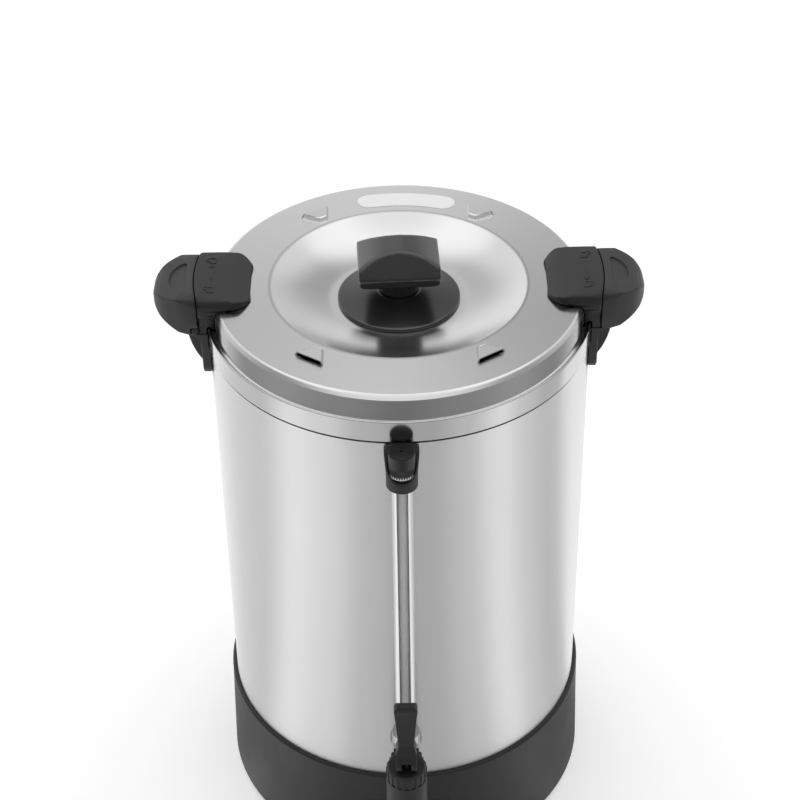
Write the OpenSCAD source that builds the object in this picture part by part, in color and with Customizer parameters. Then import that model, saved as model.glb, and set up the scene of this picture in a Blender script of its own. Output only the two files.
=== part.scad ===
// Hot water urn with a twist-lock lid, sight gauge and drip-free tap. Millimetres.
// Origin: on the table under the centre of the tank. +Z up, the tap and gauge face -Y.

/* [Outer shell] */
// Outer radius of the shell
shell_r = 138; // [125:1:150]
// Thickness of the shell sheet
shell_t = 0.8; // [0.6:0.1:1.2]
// Height of the shell's lower edge above the table
shell_low_z = 92; // [80:1:110]
// Height of the body rim above the table
rim_z = 445.5; // [380:0.5:520]

/* [Inner tank] */
// Air gap between the tank and the shell
air_gap = 5.9; // [5:0.1:7]
// Thickness of the tank sheet
tank_t = 0.8; // [0.6:0.1:1.2]
// Height of the tank floor above the shell's lower edge
tank_floor_rise = 20; // [18:1:30]
// Inner radius of the tank's bottom corner
tank_corner_r = 9; // [5:1:12]
// Height of the bright band that is folded over the shell
band_h = 16.5; // [12:0.5:22]
// Thickness of the band sheet
band_t = 1.0; // [0.8:0.1:1.4]
// Width of the folded rim
rim_w = 1.8; // [1.4:0.1:2.4]
// Depth of the lid's ledge below the rim
ledge_depth = 3.4; // [2.5:0.1:5]

/* [Lid] */
// Thickness of the lid sheet
lid_t = 0.8; // [0.6:0.1:1.2]
// Height of the lid's ring crease above the body rim
lid_rise = 19; // [16:0.5:24]
// Width of the lid's flange
flange_w = 3.0; // [2:0.1:4]
// Radius of the ring crease
ring_r = 92; // [80:1:100]
// Radius of the flat centre
dish_flat_r = 48; // [46:1:60]
// Depth of the dished centre
dish_depth = 14; // [8:0.5:16]
// Fall of the lid from the ring crease to the shoulder
annulus_fall = 1.4; // [0:0.1:3]
// Radius of the rounded shoulder
shoulder_r = 4; // [2:0.5:6]

/* [Steam louvers] */
// Radius at which the louver mouths lie
louver_at_r = 111; // [106:1:116]
// Angle of each louver from the front-to-back line
louver_angle = 34; // [25:1:45]
// Width of a louver's mouth
louver_w = 25; // [16:1:30]
// Length from the mouth to the blunt tip
louver_l = 14; // [10:1:16]
// Width of the blunt tip
louver_tip_w = 7; // [3:1:12]
// Height of a louver above the lid
louver_h = 3.2; // [2:0.2:5]

/* [Lid knob] */
// Radius of the black disc
knob_disc_r = 44; // [38:1:46]
// Thickness of the disc's edge
knob_edge_t = 2.6; // [1.5:0.1:4]
// Width of the grip
knob_w = 58; // [44:1:66]
// Depth of the grip at its widest
knob_d = 49; // [36:1:54]
// Depth of the grip's arched top
knob_top_d = 22; // [16:1:30]
// Height of the grip's underside above the ring crease
knob_low = 7; // [4:0.5:14]
// Height of the grip
knob_h = 25.5; // [18:0.5:34]
// Rise of the arched top from its ends to its middle
knob_arch = 10; // [5:0.5:14]
// Radius of the neck
knob_neck_r = 14; // [10:0.5:18]
// Turn of the grip on its screw
knob_turn = 2.5; // [-10:0.5:10]

/* [Lid ears] */
// Length of an ear from its outer face in over the lid
ear_l = 41; // [36:1:46]
// Half width of an ear where it lies on the lid
ear_half_w = 34; // [28:1:38]
// Half width of an ear's leg outside the rim
ear_leg_half_w = 28; // [22:0.5:30]
// Thickness of an ear's leg outside the rim
ear_leg_t = 6.3; // [5:0.1:8]
// Height of an ear's top above the ring crease
ear_top = 9; // [6:0.5:12]
// Reach of the bayonet foot past the leg
foot_l = 4.8; // [3:0.1:6]
// Height of the bayonet foot
foot_h = 4.6; // [3:0.1:6]
// Angle that the bayonet foot spans
foot_angle = 11; // [8:0.5:12]

/* [Body handles] */
// Radius of a grip seen from above
grip_r = 31.5; // [26:0.5:36]
// Height of a grip at its leg
grip_h = 33; // [28:0.5:38]
// Height of a grip's rounded outer end
grip_end_h = 21; // [16:0.5:24]
// Half width of the leg plate
leg_half_w = 28; // [22:0.5:30]
// Thickness of the leg plate at its middle
leg_t = 3.7; // [3:0.1:6]
// Depth of the leg plate's lowest point below the ring crease
leg_drop = 68; // [60:1:80]
// Thickness of the gusset web
web_t = 18; // [12:1:24]
// Radius of the handle screws
handle_screw_r = 2; // [1.5:0.1:2.5]

/* [Sight gauge] */
// Outer radius of the gauge tube
tube_r = 5; // [4:0.1:5.5]
// Wall of the gauge tube
tube_t = 1.2; // [1:0.1:1.6]
// Outer radius of the polished guard
guard_r = 7.5; // [7:0.1:8.5]
// Wall of the guard
guard_t = 0.9; // [0.7:0.1:1.2]
// Width of the guard's slot
guard_slot_w = 7.9; // [5:0.1:9]
// Outer radius of the bracket's collar
collar_r = 10.9; // [10.6:0.1:12]
// Half width of the bracket's wings
wing_half_w = 12.1; // [11.5:0.1:14]
// Radius of the finger plug
plug_r = 9.4; // [8:0.1:9.6]
// Height of the plug's smooth upper part
plug_cap_h = 11; // [8:0.5:14]
// Height of the plug's knurled ring
plug_knurl_h = 7.5; // [5:0.5:10]
// Number of teeth on the knurled ring
plug_teeth = 32; // [20:1:40]

/* [Tap] */
// Height of the tap's shank above the tank floor
shank_rise = 28; // [26:1:40]
// Outer radius of the threaded shank
shank_r = 7; // [6:0.1:8]
// Bore radius of the shank
shank_bore_r = 4.6; // [3.5:0.1:5]
// Distance from the gauge axis to the tap's axis
tap_reach = 42; // [40:1:55]
// Outer radius of the tap body
tap_r = 15; // [14.5:0.5:18]
// Radius of the tap's valve chamber
chamber_r = 10.5; // [9.5:0.1:11]
// Radius of the spout's bore
spout_bore_r = 5.5; // [4:0.1:6]
// Length of the spout below the valve seat
spout_l = 24; // [18:1:32]
// Radius of the valve stem
stem_r = 3; // [2.5:0.1:3.4]
// Lift of the valve at full opening
valve_lift = 4.5; // [3:0.1:5]
// Length of the lever above its pin
lever_l = 58; // [40:1:70]
// Width of the lever's paddle
lever_w = 17; // [14:0.5:22]

/* [Base] */
// Step from the shell out to the base's top edge
base_step = 3.6; // [3:0.1:6]
// Flare of the base from its top edge to its foot
base_flare = 2.4; // [1:0.1:6]
// Height of the base's lip above the shell's lower edge
base_lip_h = 6; // [4:0.5:10]
// Wall of the base housing
base_t = 3; // [2.5:0.1:3.5]
// Height of the rubber feet
foot_height = 7; // [5:0.5:10]
// Radius of the rubber feet
rubber_r = 13; // [10:0.5:15]
// Distance of the rubber feet in from the base's foot
rubber_inset = 32; // [28:1:48]
// Width of the control panel
panel_w = 66; // [56:1:72]
// Height of the control panel
panel_h = 40; // [34:1:44]

/* [Hidden] */
$fn = 96;

// Overrun of every cut past the face that it opens
cut = 1;
// Clearance of two pieces that seat on each other
seat = 0.2;
// Clearance of a shaft that runs in its bore
run = 0.05;
// Steps of a computed arc
arc_steps = 8;
// Width, length and depth of a screw's cross recess, as shares of its head
drive_w_share = 0.3;
drive_l_share = 1.1;
drive_h_share = 0.55;

steel = "#c9cacc";
bright_steel = "#dcdddf";
black = "#2b2b2d";
rubber_black = "#3a3a3c";
silicone = "#d9d4cc";
brass = "#c9a85c";
clear_glass = "#cfe3ea";
heater_grey = "#b4b7bb";
phenolic = "#8d6f4a";

// Body rim
band_in_r = shell_r + seat;
band_out_r = band_in_r + band_t;
rim_in_r = band_out_r - rim_w;
ledge_z = rim_z - ledge_depth;
band_low_z = rim_z - band_h;
shell_in_r = shell_r - shell_t;
tank_out_r = shell_in_r - air_gap;
tank_in_r = tank_out_r - tank_t;
tank_floor_z = shell_low_z + tank_floor_rise;
shell_top_z = ledge_z - tank_t - seat;

// Lid
ring_z = rim_z + lid_rise;
flange_gap = 0.4;
flange_r = rim_in_r - flange_gap;
lid_wall_r = flange_r - flange_w;
flange_low_z = ledge_z + seat;
flange_top_z = flange_low_z + lid_t;
flange_bead_r = 0.9;
dish_low_z = ring_z - dish_depth;
dish_steps = 10;
dish_bend_share = 0.16;
lid_screw_r = 3;
ear_screw_r = 1.75;
ear_screw_inset = 15;
ear_screw_at_x = lid_wall_r - ear_screw_inset;
ear_screw_side = 14;
screw_play = 0.3;

// Lid ears
seam = 0.4;
slot_play = 0.5;
lid_play = 0.1;
ear_in_r = band_out_r + slot_play;
ear_out_r = ear_in_r + ear_leg_t;
ear_in_x = ear_out_r - ear_l;
ear_drop = 24;
ear_low_z = ring_z - ear_drop;
ear_top_z = ring_z + ear_top;
ear_edge_r = 10;
ear_bow = 2;
ear_lip_h = 0.8;
ear_bevel_l = 8;
ear_pilot_h = 4;
foot_rise = 1;
foot_start = 0.4;
foot_play = 0.6;
foot_low_z = ear_low_z + foot_rise;
ear_screw_head_r = 3.4;
ear_screw_head_h = 2;

// Lid knob
knob_hub_rise = 7.8;
knob_hub_z = dish_low_z + knob_hub_rise;
knob_hub_r = knob_neck_r + 1.5;
knob_round = 0.6;
knob_sag = 3.2;
knob_low_z = ring_z + knob_low;
knob_top_z = knob_low_z + knob_h;
knob_bore_z = knob_low_z + knob_h * 0.4;
knob_corner_r = 5;
knob_low_share = 0.82;
knob_wide_share = 0.36;
knob_washer_r = 9;
knob_washer_t = 1.2;
knob_screw_head_r = 6;
knob_screw_head_h = 3.6;
knob_screw_gap = 1;

// Body handles
pocket_run = 30;
handle_in_r = ear_out_r + seam;
grip_step = 0.5;
grip_top_z = ear_top_z - grip_step;
grip_low_z = grip_top_z - grip_h;
grip_fall = 4;
grip_edge_r = 9;
grip_inset = 1.9;
grip_at_x = handle_in_r - grip_inset;
grip_out_x = grip_at_x + grip_r;
leg_x = shell_r + seat + leg_t;
leg_low_z = ring_z - leg_drop;
leg_round_h = 16;
leg_fillet_r = 9;
web_out = 12;
web_drop = 24;
web_rise = 4;
dimple_from = 6;
dimple_to = 18;
dimple_half_w = 16.5;
dimple_depth = 1.2;
handle_screw_drop = 16;
handle_screw_step = 13;
handle_screw_zs = [grip_low_z - handle_screw_drop, grip_low_z - handle_screw_drop - handle_screw_step];
handle_screw_reach = 3;
handle_screw_head_r = 4.2;
handle_screw_head_h = 2;
backing_t = 1.2;
backing_half_w = 12;
backing_margin = 7;

// Sight gauge
gauge_off = 0.6;
gauge_y = -(shell_r + collar_r + gauge_off);
plug_step = 0.5;
plug_top_z = band_low_z + plug_step;
plug_knurl_z = plug_top_z - plug_cap_h - plug_knurl_h;
plug_tooth = 0.6;
plug_chamfer = 1;
plug_relief = 0.2;
plug_cap_r = plug_r - plug_relief;
plug_skirt_h = 1.3;
plug_skirt_r = plug_r - plug_tooth - plug_relief;
plug_skirt_z = plug_knurl_z - plug_skirt_h;
plug_play = 0.35;
plug_vent_r = 0.9;
spigot_reach = 5;
spigot_play = 0.3;
collar_dip = 3.5;
collar_h = 7;
collar_low_z = plug_knurl_z - collar_dip - collar_h;
collar_floor_h = 6;
collar_floor_z = collar_low_z + collar_floor_h;
cradle_angle = 46;
wing_step = 1;
wing_top_z = band_low_z - wing_step;
wing_chamfer = 3.6;
bracket_screw_r = 1.5;
bracket_screw_z = collar_low_z + collar_floor_h / 2;
bracket_screw_reach = 5.5;
bracket_screw_head_r = 3;
bracket_screw_head_h = 1.8;
tube_play = 0.3;
tube_top_step = 2.8;
tube_top_z = collar_floor_z + tube_top_step;
guard_slot_low = 4;
guard_slot_high = 1.5;
guard_slot_r = 2;
lower_seal_h = 4;

// Tap shank
wall_fn = 360;
shank_z = tank_floor_z + shank_rise;
shank_play = 0.3;
shank_hole_r = shank_r + shank_play;
washer_r = 12;
washer_t = 2.5;
washer_extra = 1;
spacer_r = 9.5;
nut_r = 12.8;
nut_t = 6;
shank_end = 11;
socket_r = 10.4;
socket_h = 18;
socket_floor = 6.5;
block_half = 9.5;
block_in_r = shell_r + washer_t + seat;
socket_top_z = shank_z + socket_h;
guard_low_z = socket_top_z;
guard_top_z = collar_low_z;
sleeve_r = 9;
sleeve_flange_r = 10.5;
sleeve_flange_t = 2.2;
collar_nut_gap = 0.5;
collar_nut_lip = 1.4;
collar_nut_thread = 9.3;
collar_nut_ribs = 12;
collar_nut_rib_w = 2.4;
collar_nut_rib_h = 0.8;
collar_nut_from = -gauge_y + socket_r + collar_nut_gap;
shank_out = collar_nut_from + collar_nut_thread;
collar_nut_to = shank_out + sleeve_flange_t + 3 * seat + collar_nut_lip;

// Tap
tap_y = gauge_y - tap_reach;
tap_below = 14;
tap_above = 16;
tap_low_z = shank_z - tap_below;
tap_top_z = shank_z + tap_above;
seat_drop = 9;
seat_z = shank_z - seat_drop;
seat_lip_h = 0.8;
seat_lip_w = 1;
spout_low_z = seat_z - spout_l;
spout_wall = 2.2;
spout_shoulder_h = 6;
spout_shoulder_share = 0.68;
bonnet_h = 11;
bonnet_inset = 0.8;
bonnet_chamfer = 1;
bonnet_skirt_h = 5;
bonnet_top_z = tap_top_z + bonnet_h;
bonnet_roof = 6;
bonnet_ribs = 18;
bonnet_rib_w = 2;
spring_room_r = 8;
cup_r = 8.3;
cup_h = 6.8;
cup_low_z = seat_z + seat_lip_h + run;
cup_top_z = cup_low_z + cup_h;
stem_flange_t = 1.2;
stem_flange_r = spring_room_r - 0.6;
stem_foot_share = 0.3;
stem_foot_z = cup_low_z + cup_h * stem_foot_share;
spring_wire_r = 0.6;
spring_r = 5.6;
spring_turns = 6;
spring_ring = 12;
spring_sides = 6;
pin_rise = 7;
pin_z = bonnet_top_z + pin_rise;
pin_r = 1.5;
cam_play = 0.1;
cam_steps = 12;
cam_turn = 90;
cam_rate = valve_lift / cam_turn;
fork_play = 0.35;
fork_half_w = 7.5;
fork_roof = 1.5;
lever_front = 8;
lever_back = 7;
lever_neck_h = 18;
lever_tip_r = 5;

// Stud that pulls the tank down on the base
stud_r = 4;
stud_drop = 12;
stud_low_z = shell_low_z - stud_drop;
stud_play = 0.3;
tank_nut_r = 7;
tank_nut_h = 6;

// Base
base_low_z = foot_height;
base_top_r = shell_r + base_step;
base_low_r = base_top_r + base_flare;
rubber_at_r = base_low_r - rubber_inset;
base_edge = 1;
base_lip_round = 1.5;
base_ledge_w = 11;
base_ledge_t = 3;
plate_t = 1.2;
plate_play = 0.6;
plate_r = base_low_r - base_t - plate_play;
plate_slots = 20;
plate_slot_w = 3;
plate_slot_from = 50;
plate_slot_l = 24;
boss_r = 5.5;
boss_at_r = base_top_r - base_t - boss_r / 2;
boss_low_z = base_low_z + plate_t + seat;
boss_first = 20;
base_screw_r = 1.8;
base_screw_l = 14;
base_screw_head_r = 3.6;
base_screw_head_h = 2.2;
base_hole_play = 0.4;
rubber_edge = 1;
rubber_taper = 1.5;
rubber_pocket_r = 5;
rubber_pocket_h = 4;
foot_screw_grip = 2;
shield_t = 1;
shield_low_z = shell_low_z + seat;
shield_play = 0.6;
shield_r = shell_in_r - shield_play;
shield_wire_r = 9;
shield_wire_y = 60;

// Control panel and inlet
panel_rise = 44;
panel_z = base_low_z + panel_rise;
panel_inset = 0.4;
panel_corner = 4;
panel_y = sqrt(pow(base_wall_r(panel_z + panel_h / 2), 2) - pow(panel_w / 2, 2)) - panel_inset;
rocker_w = 15;
rocker_h = 21;
rocker_bezel_t = 1.8;
rocker_bezel_r = 1.5;
rocker_rim = 1.2;
rocker_wall = 1.2;
rocker_depth = 14;
rocker_tilt = 12;
rocker_pin_r = 1.2;
rocker_pin_in = 1;
rocker_play = 0.35;
rocker_in_w = rocker_w - 2 * rocker_rim;
rocker_in_h = rocker_h - 2 * rocker_rim;
rocker_half_w = rocker_in_w / 2 - rocker_wall - rocker_play;
rocker_end_r = rocker_in_h / 2 - rocker_wall - rocker_play;
rocker_face = 3.4;
rocker_nose = 5;
rocker_back = 2.4;
lamp_x = 22;
lamp_r = 4.2;
lamp_rim = 1.4;
lamp_rim_h = 1.3;
lamp_step = 0.6;
lamp_dome_h = 2.2;
lamp_depth = 10;
inlet_w = 50;
inlet_h = 23;
inlet_corner = 3;
inlet_t = 2.2;
inlet_body_w = 27;
inlet_body_h = 19.6;
inlet_wall = 1.3;
inlet_depth = 20;
inlet_floor = 3;
inlet_chamfer = 4;
inlet_screw_x = 20;
inlet_screw_l = 9;
inlet_screw_head_r = 3.2;
inlet_screw_head_h = 1.6;
blade_w = 2;
blade_h = 4;
blade_x = 7;
blade_z = 2;
blade_tail = 6;
blade_short = 5;
blade_places = [[-blade_x, -blade_z], [blade_x, -blade_z], [0, blade_z]];

// Parts under the tank
heater_in_r = 32;
heater_inset = 54.5;
heater_out_r = tank_in_r - heater_inset;
heater_h = 7;
heater_top_z = tank_floor_z - tank_t - seat;
heater_low_z = heater_top_z - heater_h;
heater_groove_w = 10;
heater_groove_h = 2;
clamp_t = 2;
clamp_arm_w = 16;
clamp_hub_r = 30;
clamp_reach = 8;
clamp_r = heater_out_r + clamp_reach;
clamp_low_z = heater_low_z - seat - clamp_t;
keep_warm_inset = 33.5;
keep_warm_x = tank_in_r - keep_warm_inset;
keep_warm_r = 11;
thermal_r = 8;
thermal_x = 19;
thermal_tab_w = 6;
thermal_tab_t = 2;
thermal_tab_y = 5;
terminal_x = 30;
terminal_y = 40;
terminal_poles = 5;
terminal_pitch = 8;
terminal_d = 16;
terminal_h = 12;
terminal_hole_r = 2.4;
terminal_floor = 5;

function arc(c, r, a0, a1, n = arc_steps) =
    [for (i = [0:n]) let (a = a0 + (a1 - a0) * i / n) c + r * [cos(a), sin(a)]];

function bend(a, b, c, n) =
    [for (i = [1:n - 1]) let (t = i / n) a * (1 - t) * (1 - t) + 2 * b * t * (1 - t) + c * t * t];

function mirrored(points) = [for (i = [len(points) - 1:-1:0]) [-points[i][0], points[i][1]]];

// Extrudes a drawing whose axes are X and Z, centred on Y
module along_y(width) {
    rotate([90, 0, 0]) linear_extrude(width, center = true) children();
}

// Extrudes a drawing whose axes are Y and Z along X
module along_x(from, to) {
    translate([from, 0, 0]) rotate([90, 0, 90]) linear_extrude(to - from) children();
}

// A cylinder that lies along -Y, starting at y = -from
module front_rod(from, to, r, z) {
    translate([0, -from, z]) rotate([90, 0, 0]) cylinder(h = to - from, r = r);
}

module tube(r_out, r_in, z0, z1) {
    translate([0, 0, z0]) difference() {
        cylinder(h = z1 - z0, r = r_out);
        translate([0, 0, -cut]) cylinder(h = z1 - z0 + 2 * cut, r = r_in);
    }
}

module rounded_plate(w, h, r) {
    polygon(concat(
        arc([w / 2 - r, h / 2 - r], r, 0, 90), arc([-w / 2 + r, h / 2 - r], r, 90, 180),
        arc([-w / 2 + r, -h / 2 + r], r, 180, 270), arc([w / 2 - r, -h / 2 + r], r, 270, 360)));
}

// Cylinder with a pan head below it, pointing up
// Screw with a cross recess in its head
module pan_screw(r, l, head_r, head_h) {
    slot_w = head_r * drive_w_share;
    slot_l = head_r * drive_l_share;
    difference() {
        union() {
            cylinder(h = l, r = r);
            translate([0, 0, -head_h]) cylinder(h = head_h, r1 = head_r * 0.8, r2 = head_r);
        }
        for (a = [0, 90]) rotate([0, 0, a]) translate([-slot_l / 2, -slot_w / 2, -head_h - cut])
            cube([slot_l, slot_w, head_h * drive_h_share + cut]);
    }
}

// Body

module inner_tank() {
    color(bright_steel) difference() {
        rotate_extrude() polygon(concat(
            [[0, stud_low_z], [stud_r, stud_low_z], [stud_r, tank_floor_z - tank_t]],
            arc([tank_in_r - tank_corner_r, tank_floor_z + tank_corner_r], tank_corner_r + tank_t, -90, 0),
            [[tank_out_r, ledge_z - tank_t], [band_in_r, ledge_z - tank_t], [band_in_r, band_low_z],
             [band_out_r, band_low_z]],
            arc([band_out_r - rim_w / 2, rim_z - rim_w / 2], rim_w / 2, 0, 180),
            [[rim_in_r, ledge_z], [tank_in_r, ledge_z]],
            arc([tank_in_r - tank_corner_r, tank_floor_z + tank_corner_r], tank_corner_r, 0, -90),
            [[0, tank_floor_z]]));
        front_rod(tank_in_r - tank_corner_r, band_out_r, shank_hole_r, shank_z);
    }
}

module outer_shell() {
    color(steel) difference() {
        tube(shell_r, shell_in_r, shell_low_z, shell_top_z);
        front_rod(tank_out_r, band_out_r, shank_hole_r, shank_z);
        front_rod(tank_out_r, band_out_r, bracket_screw_r + screw_play, bracket_screw_z);
        for (side = [-1, 1], z = handle_screw_zs)
            translate([0, 0, z]) rotate([0, side * 90, 0])
                cylinder(h = band_out_r, r = handle_screw_r + screw_play);
    }
}

// A quarter section of the lid's sheet, from its centre to its wall, moved in by d
function lid_outline(d) = concat(
    [[0, dish_low_z - d], [dish_flat_r, dish_low_z - d]],
    bend([dish_flat_r, dish_low_z - d],
         [(dish_flat_r + ring_r) / 2, dish_low_z - d + dish_depth * dish_bend_share],
         [ring_r, ring_z - d], dish_steps),
    [[ring_r, ring_z - d]],
    arc([lid_wall_r - shoulder_r, ring_z - annulus_fall - shoulder_r], shoulder_r - d, 90, 0));

// Height of the lid's upper face at radius r, outside the ring crease
function lid_z(r) = ring_z - annulus_fall * (r - ring_r) / (lid_wall_r - shoulder_r - ring_r);

// Solid between two outlines with as many corners, counter-clockwise from above
module frustum(low, high, z0, z1) {
    n = len(low);
    polyhedron(
        points = concat([for (p = low) [p[0], p[1], z0]], [for (p = high) [p[0], p[1], z1]]),
        faces = concat(
            [[for (i = [0:n - 1]) i]], [[for (i = [n - 1:-1:0]) n + i]],
            [for (i = [0:n - 1]) [i, i + n, (i + 1) % n + n]],
            [for (i = [0:n - 1]) [i, (i + 1) % n + n, (i + 1) % n]]));
}

// Part of a tube that starts on the +X axis and spans an angle
module sector(angle, r_in, r_out, z0, z1) {
    translate([0, 0, z0]) rotate_extrude(angle = angle) polygon([
        [r_in, 0], [r_out, 0], [r_out, z1 - z0], [r_in, z1 - z0]]);
}

// Lid

function louver_plan(inset) = [
    [0, -louver_w / 2 + inset], [0, louver_w / 2 - inset],
    [-louver_l + inset, louver_tip_w / 2 - inset / 3], [-louver_l + inset, -louver_tip_w / 2 + inset / 3]];

module louver_shape(inset, low, high) {
    slope = louver_h * 0.75;
    frustum(louver_plan(inset), louver_plan(inset + slope), low, high);
}

module at_louvers() {
    for (a = [90 - louver_angle, 90 + louver_angle, 270 - louver_angle, 270 + louver_angle])
        rotate([0, 0, a]) translate([louver_at_r, 0, 0]) children();
}

module at_ear_screws() {
    for (half = [0, 180], side = [-1, 1])
        rotate([0, 0, half]) translate([ear_screw_at_x, side * ear_screw_side, 0]) children();
}

module lid_disc() {
    face_z = lid_z(louver_at_r);
    under = lid_outline(lid_t);
    color(bright_steel) difference() {
        union() {
            rotate_extrude() polygon(concat(
                lid_outline(0),
                [[lid_wall_r, flange_top_z], [flange_r - 2 * flange_bead_r, flange_top_z]],
                arc([flange_r - flange_bead_r, flange_low_z + flange_bead_r], flange_bead_r, 120, -90),
                [[lid_wall_r - lid_t, flange_low_z]],
                [for (i = [len(under) - 1:-1:0]) under[i]]));
            at_louvers() louver_shape(0, face_z - lid_t, face_z + louver_h);
        }
        at_louvers() {
            louver_shape(lid_t, face_z - lid_t - cut, face_z + louver_h - lid_t);
            translate([-lid_t, -louver_w / 2 + 4 * lid_t, face_z + lid_t / 4])
                cube([lid_t + cut, louver_w - 8 * lid_t, louver_h - lid_t * 5 / 4]);
        }
        translate([0, 0, dish_low_z - lid_t - cut])
            cylinder(h = lid_t + 2 * cut, r = lid_screw_r + screw_play);
        at_ear_screws() translate([0, 0, dish_low_z])
            cylinder(h = dish_depth + cut, r = ear_screw_r + screw_play);
    }
}

function ear_section() = concat(
    arc([ear_half_w - ear_edge_r, ear_top_z - ear_edge_r], ear_edge_r, 90, 0),
    [[ear_half_w, ring_z - ear_top * 0.6], [ear_leg_half_w, ring_z - ear_drop / 2],
        [ear_leg_half_w, ear_low_z]]);

// Half of the ear's inner edge, seen from above
function ear_edge(side) = bend(
    [ear_in_x + ear_half_w / 2, side * ear_half_w], [ear_in_x + ear_bow, side * ear_half_w * 0.92],
    [ear_in_x, side * ear_half_w * 0.6], arc_steps);

// The ear on the +X side
module ear() {
    side_edge = ear_edge(-1);
    difference() {
        intersection() {
            // Seen from above, with a drawn-in inner edge
            translate([0, 0, ear_low_z]) linear_extrude(ear_top_z - ear_low_z) polygon(concat(
                [[ear_out_r + cut, -ear_half_w], [ear_out_r + cut, ear_half_w],
                 [ear_in_x + ear_half_w / 2, ear_half_w]],
                ear_edge(1),
                [[ear_in_x, ear_half_w * 0.6], [ear_in_x + ear_bow / 2, ear_half_w * 0.3],
                 [ear_in_x + ear_bow / 2, -ear_half_w * 0.3], [ear_in_x, -ear_half_w * 0.6]],
                [for (i = [len(side_edge) - 1:-1:0]) side_edge[i]],
                [[ear_in_x + ear_half_w / 2, -ear_half_w]]));
            // Seen from the front, falling towards the knob
            along_y(2 * ear_half_w + cut) polygon([
                [ear_in_x, ear_low_z], [ear_in_x, ring_z + ear_lip_h],
                [ear_in_x + ear_bevel_l, ring_z + ear_top * 0.55],
                [ear_in_x + ear_bevel_l * 1.5, ring_z + ear_top * 0.64],
                [ear_out_r + cut, ear_top_z], [ear_out_r + cut, ear_low_z]]);
            // Seen from the side, drawn in above the rim
            along_x(ear_in_x - cut, ear_out_r + cut) polygon(concat(ear_section(), mirrored(ear_section())));
            cylinder(h = ear_top_z + cut, r = ear_out_r);
        }
        // Lid below the ear
        rotate_extrude() polygon(concat(
            [[0, ear_low_z - cut]], lid_outline(-lid_play),
            [[lid_wall_r + lid_play, flange_low_z + 2 * flange_bead_r + lid_play],
             [rim_in_r, flange_low_z + 2 * flange_bead_r + lid_play], [rim_in_r, ear_low_z - cut]]));
        // Slot that the body rim runs in
        tube(band_out_r + slot_play, rim_in_r - slot_play, ear_low_z - cut, rim_z + slot_play);
        for (side = [-1, 1]) translate([ear_screw_at_x, side * ear_screw_side, ear_low_z])
            cylinder(h = ear_drop + ear_pilot_h + lid_play, r = ear_screw_r + run);
    }
    // Bayonet foot
    rotate([0, 0, foot_start])
        sector(foot_angle, ear_out_r - cut, ear_out_r + foot_l, foot_low_z, foot_low_z + foot_h);
}

module ear_right() color(black) ear();
module ear_left() color(black) rotate([0, 0, 180]) ear();

module ear_screws() {
    z = lid_z(ear_screw_at_x) - lid_t - seat;
    color(steel) at_ear_screws() translate([0, 0, z])
        pan_screw(ear_screw_r, ring_z + ear_pilot_h - seat - z, ear_screw_head_r, ear_screw_head_h);
}

module knob_disc() {
    edge_z = dish_low_z + knob_edge_t;
    edge_r = knob_disc_r - knob_round;
    hub_low_z = knob_hub_z - knob_round;
    color(black) difference() {
        rotate_extrude() polygon(concat(
            [[0, dish_low_z], [edge_r, dish_low_z], [knob_disc_r, dish_low_z + knob_round],
             [knob_disc_r, edge_z - knob_round], [edge_r, edge_z]],
            bend([edge_r, edge_z], [(knob_disc_r + knob_hub_r) / 2, knob_hub_z - knob_sag],
                 [knob_hub_r, hub_low_z], arc_steps),
            [[knob_hub_r, hub_low_z], [knob_hub_r - knob_round, knob_hub_z], [0, knob_hub_z]]));
        translate([0, 0, dish_low_z - cut]) cylinder(h = dish_depth + cut, r = lid_screw_r + screw_play);
    }
}

module knob_grip() {
    arch_r = (pow(knob_w / 2, 2) + pow(knob_arch, 2)) / (2 * knob_arch);
    wide_z = knob_low_z + knob_h * knob_wide_share;
    corner_x = knob_w / 2 - knob_corner_r;
    corner_z = knob_low_z + knob_corner_r;
    neck_z = knob_hub_z + seat / 2;
    color(black) rotate([0, 0, knob_turn]) difference() {
        union() {
            intersection() {
                // Seen from the front, with rounded lower corners
                along_y(knob_d + cut) polygon(concat(
                    [[knob_w / 2, knob_top_z], [-knob_w / 2, knob_top_z]],
                    arc([-corner_x, corner_z], knob_corner_r, 180, 270),
                    arc([corner_x, corner_z], knob_corner_r, 270, 360)));
                // Seen from the side, leaning in to the top
                along_x(-knob_w / 2 - cut, knob_w / 2 + cut) polygon([
                    [knob_d / 2 * knob_low_share, knob_low_z], [knob_d / 2, wide_z],
                        [knob_top_d / 2, knob_top_z],
                    [-knob_top_d / 2, knob_top_z], [-knob_d / 2, wide_z],
                        [-knob_d / 2 * knob_low_share, knob_low_z]]);
                // Arched top
                translate([0, knob_d, knob_top_z - arch_r]) rotate([90, 0, 0])
                    cylinder(h = 2 * knob_d, r = arch_r);
            }
            translate([0, 0, neck_z]) cylinder(h = knob_low_z - neck_z + cut, r = knob_neck_r);
        }
        translate([0, 0, knob_hub_z - cut])
            cylinder(h = knob_bore_z - knob_hub_z + cut, r = lid_screw_r + run);
    }
}

module knob_screw() {
    z = dish_low_z - lid_t - knob_washer_t;
    color(steel) translate([0, 0, z]) {
        cylinder(h = knob_washer_t, r = knob_washer_r);
        pan_screw(lid_screw_r, knob_bore_z - knob_screw_gap - z, knob_screw_head_r, knob_screw_head_h);
    }
}

// Body handles

function grip_section() = concat(
    arc([grip_r - grip_edge_r, grip_top_z - grip_edge_r], grip_edge_r, 90, 0),
    [[grip_r, grip_top_z - grip_h * 0.65], [leg_half_w, grip_low_z]],
    [for (i = [0:arc_steps]) let (a = 90 * i / arc_steps)
        [leg_half_w * cos(a), leg_low_z + leg_round_h * (1 - sin(a))]]);

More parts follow.
